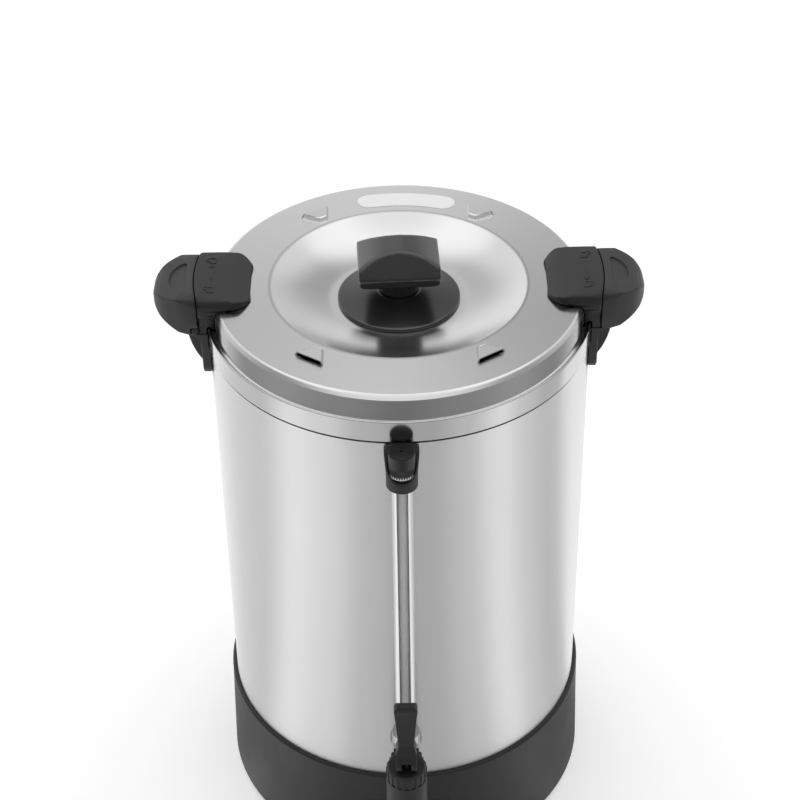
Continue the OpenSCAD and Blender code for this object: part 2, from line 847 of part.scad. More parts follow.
// What stands inside a handle: the shell, the band, the ear's leg and foot, and the screws
module handle_hollow() {
    translate([0, 0, leg_low_z - cut]) cylinder(h = leg_drop + grip_h, r = shell_r + seat, $fn = wall_fn);
    translate([0, 0, band_low_z - seat]) cylinder(h = leg_drop, r = band_out_r + seat, $fn = wall_fn);
    translate([0, 0, ear_low_z - seam]) cylinder(h = leg_drop, r = handle_in_r, $fn = wall_fn);
    rotate([0, 0, -foot_start]) sector(pocket_run, handle_in_r - cut, ear_out_r + foot_l + foot_play,
        foot_low_z - foot_play, foot_low_z + foot_h + foot_play);
    for (z = handle_screw_zs) translate([shell_r - cut, 0, z]) rotate([0, 90, 0])
        cylinder(h = leg_x - shell_r + handle_screw_reach + cut + screw_play, r = handle_screw_r + run);
}

// Half of the thumb dimple's outline
function dimple_side(side) = bend(
    [dimple_to * 0.6, side * dimple_half_w * 0.92], [dimple_to, side * dimple_half_w * 0.6],
        [dimple_to, 0], arc_steps);

module dimple() {
    far = dimple_side(-1);
    near = dimple_side(1);
    polygon(concat(
        [[dimple_from, -dimple_half_w * 0.92], [dimple_from * 1.4, -dimple_half_w]],
        far, [[dimple_to, 0]], [for (i = [len(near) - 1:-1:0]) near[i]],
        [[dimple_from * 1.4, dimple_half_w], [dimple_from, dimple_half_w * 0.92]]));
}

// The handle on the +X side
module handle() {
    end_r = grip_end_h / 2;
    end_x = grip_out_x - end_r;
    end_z = grip_top_z - grip_fall - end_r;
    start_x = shell_r - leg_fillet_r;
    fall_angle = atan(grip_fall / (end_x - handle_in_r));
    difference() {
        intersection() {
            // Seen from the front: the grip, its underside and the leg
            along_y(2 * grip_r + cut) polygon(concat(
                [[start_x, leg_low_z], [start_x, grip_top_z], [handle_in_r, grip_top_z]],
                arc([end_x, end_z], end_r, 84, -72),
                arc([leg_x + leg_fillet_r, grip_low_z - leg_fillet_r], leg_fillet_r, 90, 180),
                [[leg_x, leg_low_z]]));
            along_x(start_x - cut, grip_out_x + cut)
                polygon(concat(grip_section(), mirrored(grip_section())));
            union() {
                translate([grip_at_x, 0, leg_low_z - cut]) cylinder(h = leg_drop + grip_h, r = grip_r);
                translate([start_x, -leg_half_w, leg_low_z - cut])
                    cube([grip_at_x - start_x, 2 * leg_half_w, leg_drop]);
            }
        }
        handle_hollow();
        // Thumb dimple in the falling top face
        translate([handle_in_r, 0, grip_top_z]) rotate([0, fall_angle, 0])
            translate([0, 0, -dimple_depth]) linear_extrude(grip_h) dimple();
    }
    difference() {
        // Gusset web under the grip
        along_y(web_t) polygon(concat(
            [[start_x, leg_low_z + web_rise], [start_x, grip_low_z + web_rise],
             [leg_x + web_out, grip_low_z + web_rise]],
            bend([leg_x + web_out, grip_low_z], [leg_x + web_out, grip_low_z - web_drop],
                 [leg_x, leg_low_z + web_rise], arc_steps),
            [[leg_x, leg_low_z + web_rise]]));
        handle_hollow();
    }
}

module handle_right() color(black) handle();
module handle_left() color(black) rotate([0, 0, 180]) handle();

module handle_screws() {
    head_x = shell_in_r - 2 * seat - backing_t;
    color(steel) for (half = [0, 180], z = handle_screw_zs)
        rotate([0, 0, half]) translate([head_x, 0, z]) rotate([0, 90, 0])
            pan_screw(handle_screw_r, leg_x + handle_screw_reach - head_x, handle_screw_head_r,
                handle_screw_head_h);
}

module handle_backing_plates() {
    low = min(handle_screw_zs) - backing_margin;
    high = max(handle_screw_zs) + backing_margin;
    color(bright_steel) for (half = [0, 180]) rotate([0, 0, half]) difference() {
        intersection() {
            tube(shell_in_r - seat, shell_in_r - seat - backing_t, low, high);
            translate([0, -backing_half_w, low - cut])
                cube([shell_r, 2 * backing_half_w, high - low + 2 * cut]);
        }
        for (z = handle_screw_zs) translate([0, 0, z]) rotate([0, 90, 0])
            cylinder(h = shell_r, r = handle_screw_r + run);
    }
}

// Sight gauge

module gauge_bracket() {
    color(black) difference() {
        union() {
            translate([0, gauge_y, collar_low_z])
                cylinder(h = wing_top_z - wing_chamfer - collar_low_z, r = collar_r);
            // Wings that lie against the shell
            translate([0, -shell_r, 0]) along_y(2 * (-gauge_y - shell_r - wing_chamfer)) polygon([
                [wing_half_w, wing_top_z - wing_chamfer], [wing_half_w - wing_chamfer * 0.8, wing_top_z],
                [-wing_half_w + wing_chamfer * 0.8, wing_top_z], [-wing_half_w, wing_top_z - wing_chamfer],
                [-collar_r, collar_low_z + collar_h], [-collar_r * 0.9, collar_low_z],
                [collar_r * 0.9, collar_low_z], [collar_r, collar_low_z + collar_h]]);
        }
        translate([0, 0, collar_low_z - cut])
            cylinder(h = band_low_z - collar_low_z + 2 * cut, r = shell_r + seat, $fn = wall_fn);
        translate([0, gauge_y, collar_floor_z])
            cylinder(h = wing_top_z - collar_floor_z + cut, r = plug_r + plug_play);
        translate([0, gauge_y, collar_low_z - cut])
            cylinder(h = collar_floor_h + 2 * cut, r = tube_r + tube_play);
        // Slanting front of the cradle
        translate([0, gauge_y - collar_r, collar_low_z + collar_h]) rotate([cradle_angle, 0, 0])
            translate([-2 * collar_r, -4 * collar_r, 0]) cube([4 * collar_r, 8 * collar_r, 4 * collar_r]);
        front_rod(shell_r - cut, shell_r + bracket_screw_reach + screw_play, bracket_screw_r + run,
            bracket_screw_z);
    }
}

module bracket_screw() {
    color(steel) translate([0, -shell_in_r + seat, bracket_screw_z]) rotate([90, 0, 0])
        pan_screw(bracket_screw_r, shell_t + bracket_screw_reach + seat, bracket_screw_head_r,
            bracket_screw_head_h);
}

module gauge_plug() {
    foot_z = tube_top_z - spigot_reach;
    color(black) translate([0, gauge_y, 0]) difference() {
        union() {
            translate([0, 0, plug_knurl_z + plug_knurl_h])
                cylinder(h = plug_cap_h - plug_chamfer, r = plug_cap_r);
            translate([0, 0, plug_top_z - plug_chamfer])
                cylinder(h = plug_chamfer, r1 = plug_cap_r, r2 = plug_cap_r - plug_chamfer);
            translate([0, 0, plug_knurl_z]) linear_extrude(plug_knurl_h) polygon([
                for (i = [0:2 * plug_teeth - 1]) let (a = 180 * i / plug_teeth)
                    (plug_r - (i % 2) * plug_tooth) * [cos(a), sin(a)]]);
            translate([0, 0, plug_skirt_z]) cylinder(h = plug_skirt_h, r = plug_skirt_r);
            translate([0, 0, foot_z]) cylinder(h = plug_knurl_z - foot_z, r = tube_r - tube_t - spigot_play);
        }
        translate([0, 0, foot_z - cut]) cylinder(h = plug_top_z - foot_z + 2 * cut, r = plug_vent_r);
    }
}

module gauge_plug_seal() {
    color(rubber_black) translate([0, gauge_y, 0])
        tube(plug_skirt_r, tube_r + run, collar_floor_z, plug_skirt_z - seat);
}

module gauge_tube() {
    color(clear_glass, 0.4) translate([0, gauge_y, 0])
        tube(tube_r, tube_r - tube_t, shank_z + socket_floor + seat, tube_top_z);
}

module gauge_guard() {
    slot_low = guard_low_z + guard_slot_low;
    slot_high = guard_top_z - guard_slot_high;
    color(bright_steel) translate([0, gauge_y, 0]) difference() {
        tube(guard_r, guard_r - guard_t, guard_low_z + seat / 2, guard_top_z - seat / 2);
        translate([0, 0, (slot_low + slot_high) / 2]) rotate([90, 0, 0])
            linear_extrude(guard_r + cut) rounded_plate(guard_slot_w, slot_high - slot_low, guard_slot_r);
    }
}

module gauge_lower_seal() {
    color(rubber_black) translate([0, gauge_y, 0])
        tube(guard_r - guard_t, tube_r + run, socket_top_z - lower_seal_h, socket_top_z - seat);
}

// Shank and its nuts

module tap_shank() {
    socket_r_in = guard_r - guard_t + run;
    color(steel) difference() {
        union() {
            front_rod(tank_in_r - shank_end, shank_out, shank_r, shank_z);
            difference() {
                union() {
                    translate([-block_half, gauge_y - block_half, shank_z - block_half])
                        cube(2 * block_half);
                    translate([0, gauge_y, shank_z]) cylinder(h = socket_h, r = socket_r);
                }
                // Flat side towards the shell and its washer
                translate([-washer_r, -block_in_r, shank_z - washer_r])
                    cube([2 * washer_r, shell_r, 3 * washer_r]);
            }
        }
        front_rod(tank_in_r - shank_end - cut, shank_out + cut, shank_bore_r, shank_z);
        translate([0, gauge_y, shank_z + socket_floor]) cylinder(h = socket_h, r = tube_r + tube_play);
        translate([0, gauge_y, shank_z]) cylinder(h = socket_h, r = tube_r - tube_t);
        translate([0, gauge_y, socket_top_z - lower_seal_h - seat]) cylinder(h = socket_h, r = socket_r_in);
    }
}

module washer_ring(from, to, r) {
    difference() {
        front_rod(from, to, r, shank_z);
        front_rod(from - cut, to + cut, shank_r + run, shank_z);
    }
}

// Round plug of the walls at the shank, wider than every washer
module wall_round(r) {
    translate([0, 0, shank_z - 2 * washer_r]) cylinder(h = 4 * washer_r, r = r, $fn = wall_fn);
}

module shank_outer_washer() {
    color(silicone) difference() {
        washer_ring(shell_r - washer_t, shell_r + washer_t, washer_r);
        wall_round(shell_r + run);
    }
}

module shank_spacer() {
    color(steel) difference() {
        intersection() {
            washer_ring(tank_in_r - washer_t, shell_r, spacer_r);
            wall_round(shell_in_r - run);
        }
        wall_round(tank_out_r + run);
    }
}

module shank_inner_washer() {
    color(silicone) intersection() {
        washer_ring(tank_in_r - washer_t - washer_extra, tank_in_r + washer_t, washer_r);
        wall_round(tank_in_r - run);
    }
}

module shank_nut() {
    from = tank_in_r - washer_t - washer_extra - seat;
    color(steel) translate([0, -from + nut_t, shank_z]) rotate([90, 0, 0]) difference() {
        cylinder(h = nut_t, r = nut_r, $fn = 6);
        translate([0, 0, -cut]) cylinder(h = nut_t + 2 * cut, r = shank_r + run);
    }
}

module tap_collar_nut() {
    core_r = nut_r - collar_nut_rib_h;
    l = collar_nut_to - collar_nut_from;
    color(black) difference() {
        union() {
            front_rod(collar_nut_from, collar_nut_to, core_r, shank_z);
            translate([0, -collar_nut_from, shank_z]) rotate([90, 0, 0])
                for (i = [0:collar_nut_ribs - 1]) rotate([0, 0, 360 * i / collar_nut_ribs])
                    translate([core_r - collar_nut_rib_h, -collar_nut_rib_w / 2, 0])
                        cube([2 * collar_nut_rib_h, collar_nut_rib_w, l]);
        }
        front_rod(collar_nut_from - cut, collar_nut_to, shank_r + run, shank_z);
        front_rod(shank_out - seat, collar_nut_to - collar_nut_lip, sleeve_flange_r + seat, shank_z);
        front_rod(shank_out, collar_nut_to + cut, sleeve_r + seat, shank_z);
    }
}

// Tap

module tap_body() {
    shoulder_r_low = tap_r * spout_shoulder_share;
    shoulder_z = tap_low_z - spout_shoulder_h;
    sleeve_from = shank_out + seat;
    color(black) difference() {
        union() {
            translate([0, tap_y, 0]) rotate_extrude() polygon([
                [0, spout_low_z], [spout_bore_r + spout_wall, spout_low_z], [shoulder_r_low, shoulder_z],
                [tap_r, tap_low_z], [tap_r, tap_top_z], [0, tap_top_z]]);
            front_rod(sleeve_from, -tap_y, sleeve_r, shank_z);
            front_rod(sleeve_from, sleeve_from + sleeve_flange_t, sleeve_flange_r, shank_z);
        }
        // Chamber with a raised seat round the outlet
        translate([0, tap_y, 0]) rotate_extrude() polygon([
            [0, seat_z + seat_lip_h], [spout_bore_r + seat_lip_w, seat_z + seat_lip_h],
            [spout_bore_r + 2 * seat_lip_w, seat_z], [chamber_r, seat_z],
            [chamber_r, tap_top_z + cut], [0, tap_top_z + cut]]);
        translate([0, tap_y, spout_low_z - cut]) cylinder(h = tap_top_z - spout_low_z, r = spout_bore_r);
        front_rod(shank_out, -tap_y, shank_bore_r, shank_z);
    }
}

module tap_bonnet() {
    cap_r = tap_r - bonnet_inset;
    color(black) translate([0, tap_y, 0]) difference() {
        union() {
            rotate_extrude() polygon([
                [0, tap_top_z - bonnet_skirt_h], [chamber_r - run, tap_top_z - bonnet_skirt_h],
                [chamber_r - run, tap_top_z], [cap_r, tap_top_z], [cap_r, bonnet_top_z - bonnet_chamfer],
                [cap_r - bonnet_chamfer, bonnet_top_z], [0, bonnet_top_z]]);
            for (i = [0:bonnet_ribs - 1]) rotate([0, 0, 360 * i / bonnet_ribs])
                translate([cap_r - bonnet_inset, -bonnet_rib_w / 2, tap_top_z])
                    cube([2 * bonnet_inset, bonnet_rib_w, bonnet_h - 2 * bonnet_chamfer]);
        }
        translate([0, 0, tap_top_z - bonnet_skirt_h - cut])
            cylinder(h = bonnet_skirt_h + bonnet_h - bonnet_roof + cut, r = spring_room_r);
        translate([0, 0, tap_top_z]) cylinder(h = bonnet_h + cut, r = stem_r + run);
    }
}

module tap_stem() {
    color(steel) difference() {
        union() {
            translate([0, tap_y, stem_foot_z]) cylinder(h = pin_z + stem_r - stem_foot_z, r = stem_r);
            translate([0, tap_y, cup_top_z]) cylinder(h = stem_flange_t, r = stem_flange_r);
        }
        translate([-stem_r - cut, tap_y, pin_z]) rotate([0, 90, 0])
            cylinder(h = 2 * (stem_r + cut), r = pin_r + run);
    }
}

module tap_seat_cup() {
    color(silicone) translate([0, tap_y, 0]) difference() {
        translate([0, 0, cup_low_z]) cylinder(h = cup_h, r = cup_r);
        translate([0, 0, stem_foot_z]) cylinder(h = cup_h, r = stem_r + run);
    }
}

// Compression spring on the stem
module tap_spring() {
    low = cup_top_z + stem_flange_t + spring_wire_r + run;
    high = bonnet_top_z - bonnet_roof - spring_wire_r - run;
    n = spring_turns * spring_ring;
    sides = spring_sides;
    rise = (high - low) / n;
    color(steel) translate([0, tap_y, low]) polyhedron(
        points = concat([for (i = [0:n], k = [0:sides - 1])
            let (a = 360 * i / spring_ring, b = 360 * k / sides, r = spring_r + spring_wire_r * cos(b))
                [r * cos(a), r * sin(a), rise * i + spring_wire_r * sin(b)]],
            [[spring_r, 0, 0], [spring_r, 0, high - low]]),
        faces = concat(
            [for (i = [0:n - 1], k = [0:sides - 1]) let (m = (k + 1) % sides)
                [i * sides + k, (i + 1) * sides + k, (i + 1) * sides + m]],
            [for (i = [0:n - 1], k = [0:sides - 1]) let (m = (k + 1) % sides)
                [i * sides + k, (i + 1) * sides + m, i * sides + m]],
            [for (k = [0:sides - 1]) [(n + 1) * sides, k, (k + 1) % sides]],
            [for (k = [0:sides - 1]) [(n + 1) * sides + 1, n * sides + (k + 1) % sides, n * sides + k]]));
}

// The heel is an involute, so the stem rises in proportion to the lever's turn
function cam_point(a) =
    let (s = pin_rise - cam_play + cam_rate * a, d = cam_rate * 180 / PI)
    [-s * sin(a) - d * cos(a), -s * cos(a) + d * sin(a)];

module tap_lever() {
    slot_half = stem_r + fork_play;
    tip_x = lever_w / 2 - lever_tip_r;
    tip_z = lever_l - lever_tip_r;
    color(black) translate([0, tap_y, pin_z]) difference() {
        intersection() {
            // Seen from the side: the heel, the neck and the finger pad
            along_x(-lever_w / 2, lever_w / 2) polygon(concat(
                [for (i = [0:cam_steps]) cam_point(cam_turn * i / cam_steps)],
                [[-lever_front, lever_l * 0.15], [-lever_front * 0.6, lever_l * 0.3],
                 [-lever_front * 0.4, lever_l * 0.7], [-lever_front * 0.7, lever_l * 0.95],
                 [-lever_front * 0.5, lever_l], [0, lever_l], [lever_back * 0.3, lever_l * 0.97],
                 [lever_back * 0.4, lever_l * 0.7], [lever_back * 0.7, lever_l * 0.25],
                 [lever_back, lever_l * 0.07], [lever_back, -pin_rise + cam_play]]));
            // Seen from the front: a narrow fork and a wide pad
            along_y(2 * lever_l) polygon(concat(
                [[-fork_half_w, -2 * pin_rise], [fork_half_w, -2 * pin_rise],
                 [fork_half_w, lever_neck_h * 0.6], [fork_half_w * 0.75, lever_neck_h]],
                arc([tip_x, tip_z], lever_tip_r, 0, 90), arc([-tip_x, tip_z], lever_tip_r, 90, 180),
                [[-fork_half_w * 0.75, lever_neck_h], [-fork_half_w, lever_neck_h * 0.6]]));
        }
        translate([-slot_half, -lever_l, -lever_l])
            cube([2 * slot_half, 2 * lever_l, lever_l + stem_r + fork_roof]);
        translate([-lever_w, 0, 0]) rotate([0, 90, 0]) cylinder(h = 2 * lever_w, r = pin_r + run / 2);
    }
}

module lever_pin() {
    color(steel) translate([-fork_half_w + seat, tap_y, pin_z]) rotate([0, 90, 0])
        cylinder(h = 2 * (fork_half_w - seat), r = pin_r);
}

// Base

// Outer radius of the flared skirt at height z
function base_wall_r(z) =
    base_low_r + (base_top_r - base_low_r) * (z - base_low_z) / (shell_low_z - base_low_z);

module base_solid(inset) {
    translate([0, 0, base_low_z]) cylinder(
        h = shell_low_z - base_low_z, r1 = base_low_r - inset, r2 = base_top_r - inset, $fn = wall_fn);
}

// Flat wall behind a panel recess, on the side that y_sign gives
module base_panel(y_sign) {
    intersection() {
        translate([0, y_sign * (panel_y - base_t / 2), panel_z]) along_y(base_t)
            rounded_plate(panel_w + 2 * base_t, panel_h + 2 * base_t, panel_corner);
        base_solid(base_t / 3);
    }
}

module base_recess(y_sign) {
    translate([0, y_sign * (panel_y + base_t * 2), panel_z]) along_y(base_t * 4)
        rounded_plate(panel_w, panel_h, panel_corner);
}

module at_bosses() {
    for (i = [0:3]) rotate([0, 0, boss_first + 90 * i]) translate([boss_at_r, 0, 0]) children();
}

module at_feet() {
    for (i = [0:3]) rotate([0, 0, 45 + 90 * i]) translate([rubber_at_r, 0, 0]) children();
}

module base_housing() {
    lip_r = shell_r + seat;
    top_z = shell_low_z + base_lip_h;
    ledge_z_low = shell_low_z - base_ledge_t;
    wall = 4 * base_t;
    color(black) difference() {
        union() {
            rotate_extrude($fn = wall_fn) polygon([
                [base_low_r - base_t, base_low_z], [base_low_r - base_edge, base_low_z],
                [base_low_r, base_low_z + base_edge], [base_top_r, shell_low_z],
                [base_top_r, top_z - base_lip_round], [base_top_r - base_lip_round, top_z],
                [lip_r, top_z], [lip_r, shell_low_z], [lip_r - base_ledge_w, shell_low_z],
                [lip_r - base_ledge_w, ledge_z_low], [base_top_r - base_t, ledge_z_low]]);
            intersection() {
                at_bosses() translate([0, 0, boss_low_z])
                    cylinder(h = shell_low_z - base_ledge_t / 2 - boss_low_z, r = boss_r);
                base_solid(base_t / 3);
            }
            base_panel(-1);
            base_panel(1);
        }
        base_recess(-1);
        base_recess(1);
        at_bosses() translate([0, 0, base_low_z])
            cylinder(h = base_screw_l + screw_play, r = base_screw_r + run);
        // Switch, lamps and inlet pass through their panels
        translate([0, -panel_y, panel_z]) along_y(wall)
            square([rocker_in_w + 2 * seat, rocker_in_h + 2 * seat], center = true);
        for (side = [-1, 1]) translate([side * lamp_x, 0, 0])
            front_rod(panel_y - wall, panel_y + wall, lamp_r + seat, panel_z);
        translate([0, panel_y, panel_z]) along_y(wall)
            square([inlet_body_w + 2 * seat, inlet_body_h + 2 * seat], center = true);
        for (side = [-1, 1]) translate([side * inlet_screw_x, panel_y + base_t, panel_z]) rotate([90, 0, 0])
            cylinder(h = wall, r = base_screw_r + run);
    }
}

module base_plate() {
    color(steel) translate([0, 0, base_low_z]) difference() {
        cylinder(h = plate_t, r = plate_r);
        at_bosses() translate([0, 0, -cut])
            cylinder(h = plate_t + 2 * cut, r = base_screw_r + base_hole_play);
        at_feet() translate([0, 0, -cut]) cylinder(h = plate_t + 2 * cut, r = base_screw_r + base_hole_play);
        for (i = [0:plate_slots - 1]) rotate([0, 0, 360 * i / plate_slots])
            translate([plate_slot_from, -plate_slot_w / 2, -cut])
                cube([plate_slot_l, plate_slot_w, plate_t + 2 * cut]);
    }
}

module rubber_feet() {
    bore_r = base_screw_r + run;
    color(rubber_black) at_feet() rotate_extrude() polygon([
        [rubber_pocket_r, 0], [rubber_r - rubber_edge, 0], [rubber_r, rubber_edge],
        [rubber_r - rubber_taper, foot_height], [bore_r, foot_height],
        [bore_r, rubber_pocket_h], [rubber_pocket_r, rubber_pocket_h]]);
}

module foot_screws() {
    color(steel) at_feet() translate([0, 0, rubber_pocket_h])
        pan_screw(base_screw_r, foot_height - rubber_pocket_h + plate_t + foot_screw_grip,
            base_screw_head_r, base_screw_head_h);
}

module base_screws() {
    color(steel) at_bosses() translate([0, 0, base_low_z])
        pan_screw(base_screw_r, base_screw_l, base_screw_head_r, base_screw_head_h);
}

module heat_shield() {
    color(bright_steel) translate([0, 0, shield_low_z]) difference() {
        cylinder(h = shield_t, r = shield_r);
        translate([0, 0, -cut]) cylinder(h = shield_t + 2 * cut, r = stud_r + stud_play);
        translate([0, shield_wire_y, -cut]) cylinder(h = shield_t + 2 * cut, r = shield_wire_r);
    }
}

module tank_nut() {
    color(steel) translate([0, 0, shield_low_z - tank_nut_h]) difference() {
        cylinder(h = tank_nut_h, r = tank_nut_r, $fn = 6);
        translate([0, 0, -cut]) cylinder(h = tank_nut_h + 2 * cut, r = stud_r + run);
    }
}

module main_heater() {
    mid_r = (heater_in_r + heater_out_r) / 2;
    color(heater_grey) difference() {
        tube(heater_out_r, heater_in_r, heater_low_z, heater_top_z);
        // Groove round the heating element
        tube(mid_r + heater_groove_w / 2, mid_r - heater_groove_w / 2, heater_low_z - cut,
            heater_low_z + heater_groove_h);
    }
}

module keep_warm_heater() {
    color(heater_grey) translate([-keep_warm_x, 0, heater_low_z]) cylinder(h = heater_h, r = keep_warm_r);
}

module heater_clamp() {
    color(steel) translate([0, 0, clamp_low_z]) difference() {
        union() {
            cylinder(h = clamp_t, r = clamp_hub_r);
            for (a = [60, 180, 300]) rotate([0, 0, a]) translate([0, -clamp_arm_w / 2, 0])
                cube([a == 180 ? keep_warm_x + keep_warm_r : clamp_r, clamp_arm_w, clamp_t]);
        }
        translate([0, 0, -cut]) cylinder(h = clamp_t + 2 * cut, r = stud_r + stud_play);
    }
}

// Round thermal switch with two tabs that stand on the clamp
module thermal_disc(x) {
    low = clamp_low_z + clamp_t + seat;
    color(phenolic) translate([x, 0, low]) {
        cylinder(h = heater_top_z - low, r = thermal_r);
        for (side = [-1, 1])
            translate([-thermal_tab_t / 2, side * thermal_tab_y - thermal_tab_w / 2, -seat / 2])
            cube([thermal_tab_t, thermal_tab_w, seat]);
    }
}

module thermostat() thermal_disc(thermal_x);
module thermal_cutout() thermal_disc(-thermal_x);

module terminal_block() {
    color(silicone) translate([terminal_x, terminal_y, base_low_z + plate_t]) difference() {
        cube([terminal_pitch * terminal_poles, terminal_d, terminal_h]);
        for (i = [0:terminal_poles - 1])
            translate([terminal_pitch * (i + 1 / 2), terminal_d / 2, terminal_floor])
            cylinder(h = terminal_h, r = terminal_hole_r);
    }
}

// Switch, lamps and inlet

module rocker_frame() {
    depth = rocker_depth + rocker_bezel_t;
    color(black) difference() {
        union() {
            translate([0, -panel_y - rocker_bezel_t / 2, panel_z]) along_y(rocker_bezel_t)
                rounded_plate(rocker_w, rocker_h, rocker_bezel_r);
            translate([0, -panel_y + rocker_depth / 2, panel_z]) along_y(rocker_depth)
                square([rocker_in_w, rocker_in_h], center = true);
        }
        translate([0, -panel_y - rocker_bezel_t + depth / 2 - rocker_wall, panel_z]) along_y(depth)
            square([rocker_in_w - 2 * rocker_wall, rocker_in_h - 2 * rocker_wall], center = true);
        translate([-rocker_w, -panel_y + rocker_pin_in, panel_z]) rotate([0, 90, 0])
            cylinder(h = 2 * rocker_w, r = rocker_pin_r + run);
    }
}

module rocker_button() {
    color(black) translate([0, -panel_y + rocker_pin_in, panel_z]) rotate([rocker_tilt, 0, 0]) {
        intersection() {
            along_x(-rocker_half_w, rocker_half_w) polygon([
                [-rocker_face, 0], [-rocker_nose, rocker_end_r], [-rocker_back, rocker_end_r],
                [rocker_back, rocker_back], [rocker_back, -rocker_back], [-rocker_back, -rocker_end_r],
                [-rocker_nose, -rocker_end_r]]);
            translate([-rocker_half_w, 0, 0]) rotate([0, 90, 0])
                cylinder(h = 2 * rocker_half_w, r = rocker_end_r);
        }
        translate([-rocker_in_w / 2, 0, 0]) rotate([0, 90, 0]) cylinder(h = rocker_in_w, r = rocker_pin_r);
    }
}

module pilot_lamp(x) {
    translate([x, -panel_y, panel_z]) rotate([90, 0, 0]) rotate_extrude() polygon(concat(
        [[0, -lamp_depth], [lamp_r, -lamp_depth], [lamp_r, 0], [lamp_r + lamp_rim, 0],
         [lamp_r + lamp_rim, lamp_rim_h / 2], [lamp_r + lamp_step, lamp_rim_h]],
        [for (i = [0:arc_steps]) let (a = 90 * i / arc_steps)
            [lamp_r * cos(a), lamp_rim_h + lamp_dome_h * sin(a)]]));
}

module lamp_heating() color("#c8352b") pilot_lamp(-lamp_x);
module lamp_ready() color("#3f9b45") pilot_lamp(lamp_x);

module inlet_recess() {
    w = inlet_body_w / 2 - inlet_wall;
    h = inlet_body_h / 2 - inlet_wall;
    polygon([[w, -h], [w, h - inlet_chamfer], [w - inlet_chamfer, h], [-w + inlet_chamfer, h],
        [-w, h - inlet_chamfer], [-w, -h]]);
}

module power_inlet() {
    recess = inlet_depth + inlet_t - inlet_floor;
    color(black) difference() {
        union() {
            translate([0, panel_y + inlet_t / 2, panel_z]) along_y(inlet_t)
                rounded_plate(inlet_w, inlet_h, inlet_corner);
            translate([0, panel_y - inlet_depth / 2, panel_z]) along_y(inlet_depth)
                square([inlet_body_w, inlet_body_h], center = true);
        }
        translate([0, panel_y + inlet_t - (recess - cut) / 2, panel_z]) along_y(recess + cut) inlet_recess();
        for (side = [-1, 1]) translate([side * inlet_screw_x, panel_y + inlet_t + cut, panel_z])
            rotate([90, 0, 0])
            cylinder(h = inlet_t + 2 * cut, r = base_screw_r + screw_play);
        for (p = blade_places) translate([p[0], panel_y - inlet_depth, panel_z + p[1]])
            cube([blade_w, 4 * inlet_floor, blade_h], center = true);
    }
}

module inlet_blades() {
    from = panel_y - inlet_depth - blade_tail;
    color(brass) for (p = blade_places)
        translate([p[0] - blade_w / 2 + run, from, panel_z + p[1] - blade_h / 2 + run])
        cube([blade_w - 2 * run, panel_y + inlet_t - blade_short - from, blade_h - 2 * run]);
}

module inlet_screws() {
    color(steel) for (side = [-1, 1]) translate([side * inlet_screw_x, panel_y + inlet_t, panel_z])
        rotate([90, 0, 0]) pan_screw(base_screw_r, inlet_screw_l, inlet_screw_head_r, inlet_screw_head_h);
}

inner_tank();
outer_shell();
base_housing();
base_plate();
rubber_feet();
base_screws();
foot_screws();
heat_shield();
main_heater();
keep_warm_heater();
heater_clamp();
tank_nut();
thermostat();
thermal_cutout();
terminal_block();
rocker_frame();
rocker_button();
lamp_heating();
lamp_ready();
power_inlet();
inlet_blades();
inlet_screws();
handle_left();
handle_right();
handle_screws();
handle_backing_plates();
gauge_bracket();
bracket_screw();
gauge_plug();
gauge_plug_seal();
gauge_tube();
gauge_guard();
gauge_lower_seal();
tap_shank();
shank_outer_washer();
shank_spacer();
shank_inner_washer();
shank_nut();
tap_collar_nut();
tap_body();
tap_bonnet();
tap_stem();
tap_seat_cup();
tap_spring();
tap_lever();
lever_pin();
lid_disc();
ear_left();
ear_right();
ear_screws();
knob_disc();
knob_grip();
knob_screw();
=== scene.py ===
import enum
import logging
import math
from dataclasses import dataclass, field

import bpy
from bpy.types import Material, Node, NodeSocket, NodeTree, Object
from mathutils import Matrix, Vector
from mathutils.bvhtree import BVHTree


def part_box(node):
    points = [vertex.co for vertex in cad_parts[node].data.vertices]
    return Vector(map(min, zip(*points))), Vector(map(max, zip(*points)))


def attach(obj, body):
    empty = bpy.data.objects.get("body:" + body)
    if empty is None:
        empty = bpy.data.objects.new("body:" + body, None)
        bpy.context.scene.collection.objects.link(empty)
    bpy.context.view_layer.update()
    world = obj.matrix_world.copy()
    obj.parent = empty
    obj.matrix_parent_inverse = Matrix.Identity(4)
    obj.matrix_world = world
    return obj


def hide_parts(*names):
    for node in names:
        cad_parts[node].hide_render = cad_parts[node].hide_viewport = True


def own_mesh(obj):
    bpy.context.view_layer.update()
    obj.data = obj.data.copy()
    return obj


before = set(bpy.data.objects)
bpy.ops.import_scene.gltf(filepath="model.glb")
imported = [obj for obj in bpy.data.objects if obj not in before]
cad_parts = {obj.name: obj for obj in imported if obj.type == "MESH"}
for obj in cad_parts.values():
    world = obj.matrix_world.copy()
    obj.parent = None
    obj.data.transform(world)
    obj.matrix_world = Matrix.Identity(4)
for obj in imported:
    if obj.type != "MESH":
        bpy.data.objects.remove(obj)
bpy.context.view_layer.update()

# A twist-lock hot water urn. Every length is in metres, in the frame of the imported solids:
# x to the right handle, y to the back, z up from the floor that the rubber feet stand on.

Colour = tuple[float, float, float]
Point = tuple[float, float, float]
Pair = tuple[float, float]
Line = list[Pair]

# Height from which pieces are laid down on the lid, clear of every solid.
ABOVE = 0.6
# Angle between two faces, in degrees, from which their edge stays sharp.
SHARP_FROM = 38.0
# Values that most of a noise texture lies between, and its usual detail.
NOISE_MIDDLE = (0.3, 0.7)
OCTAVES = 3.0

log = logging.getLogger("hot_water_urn")


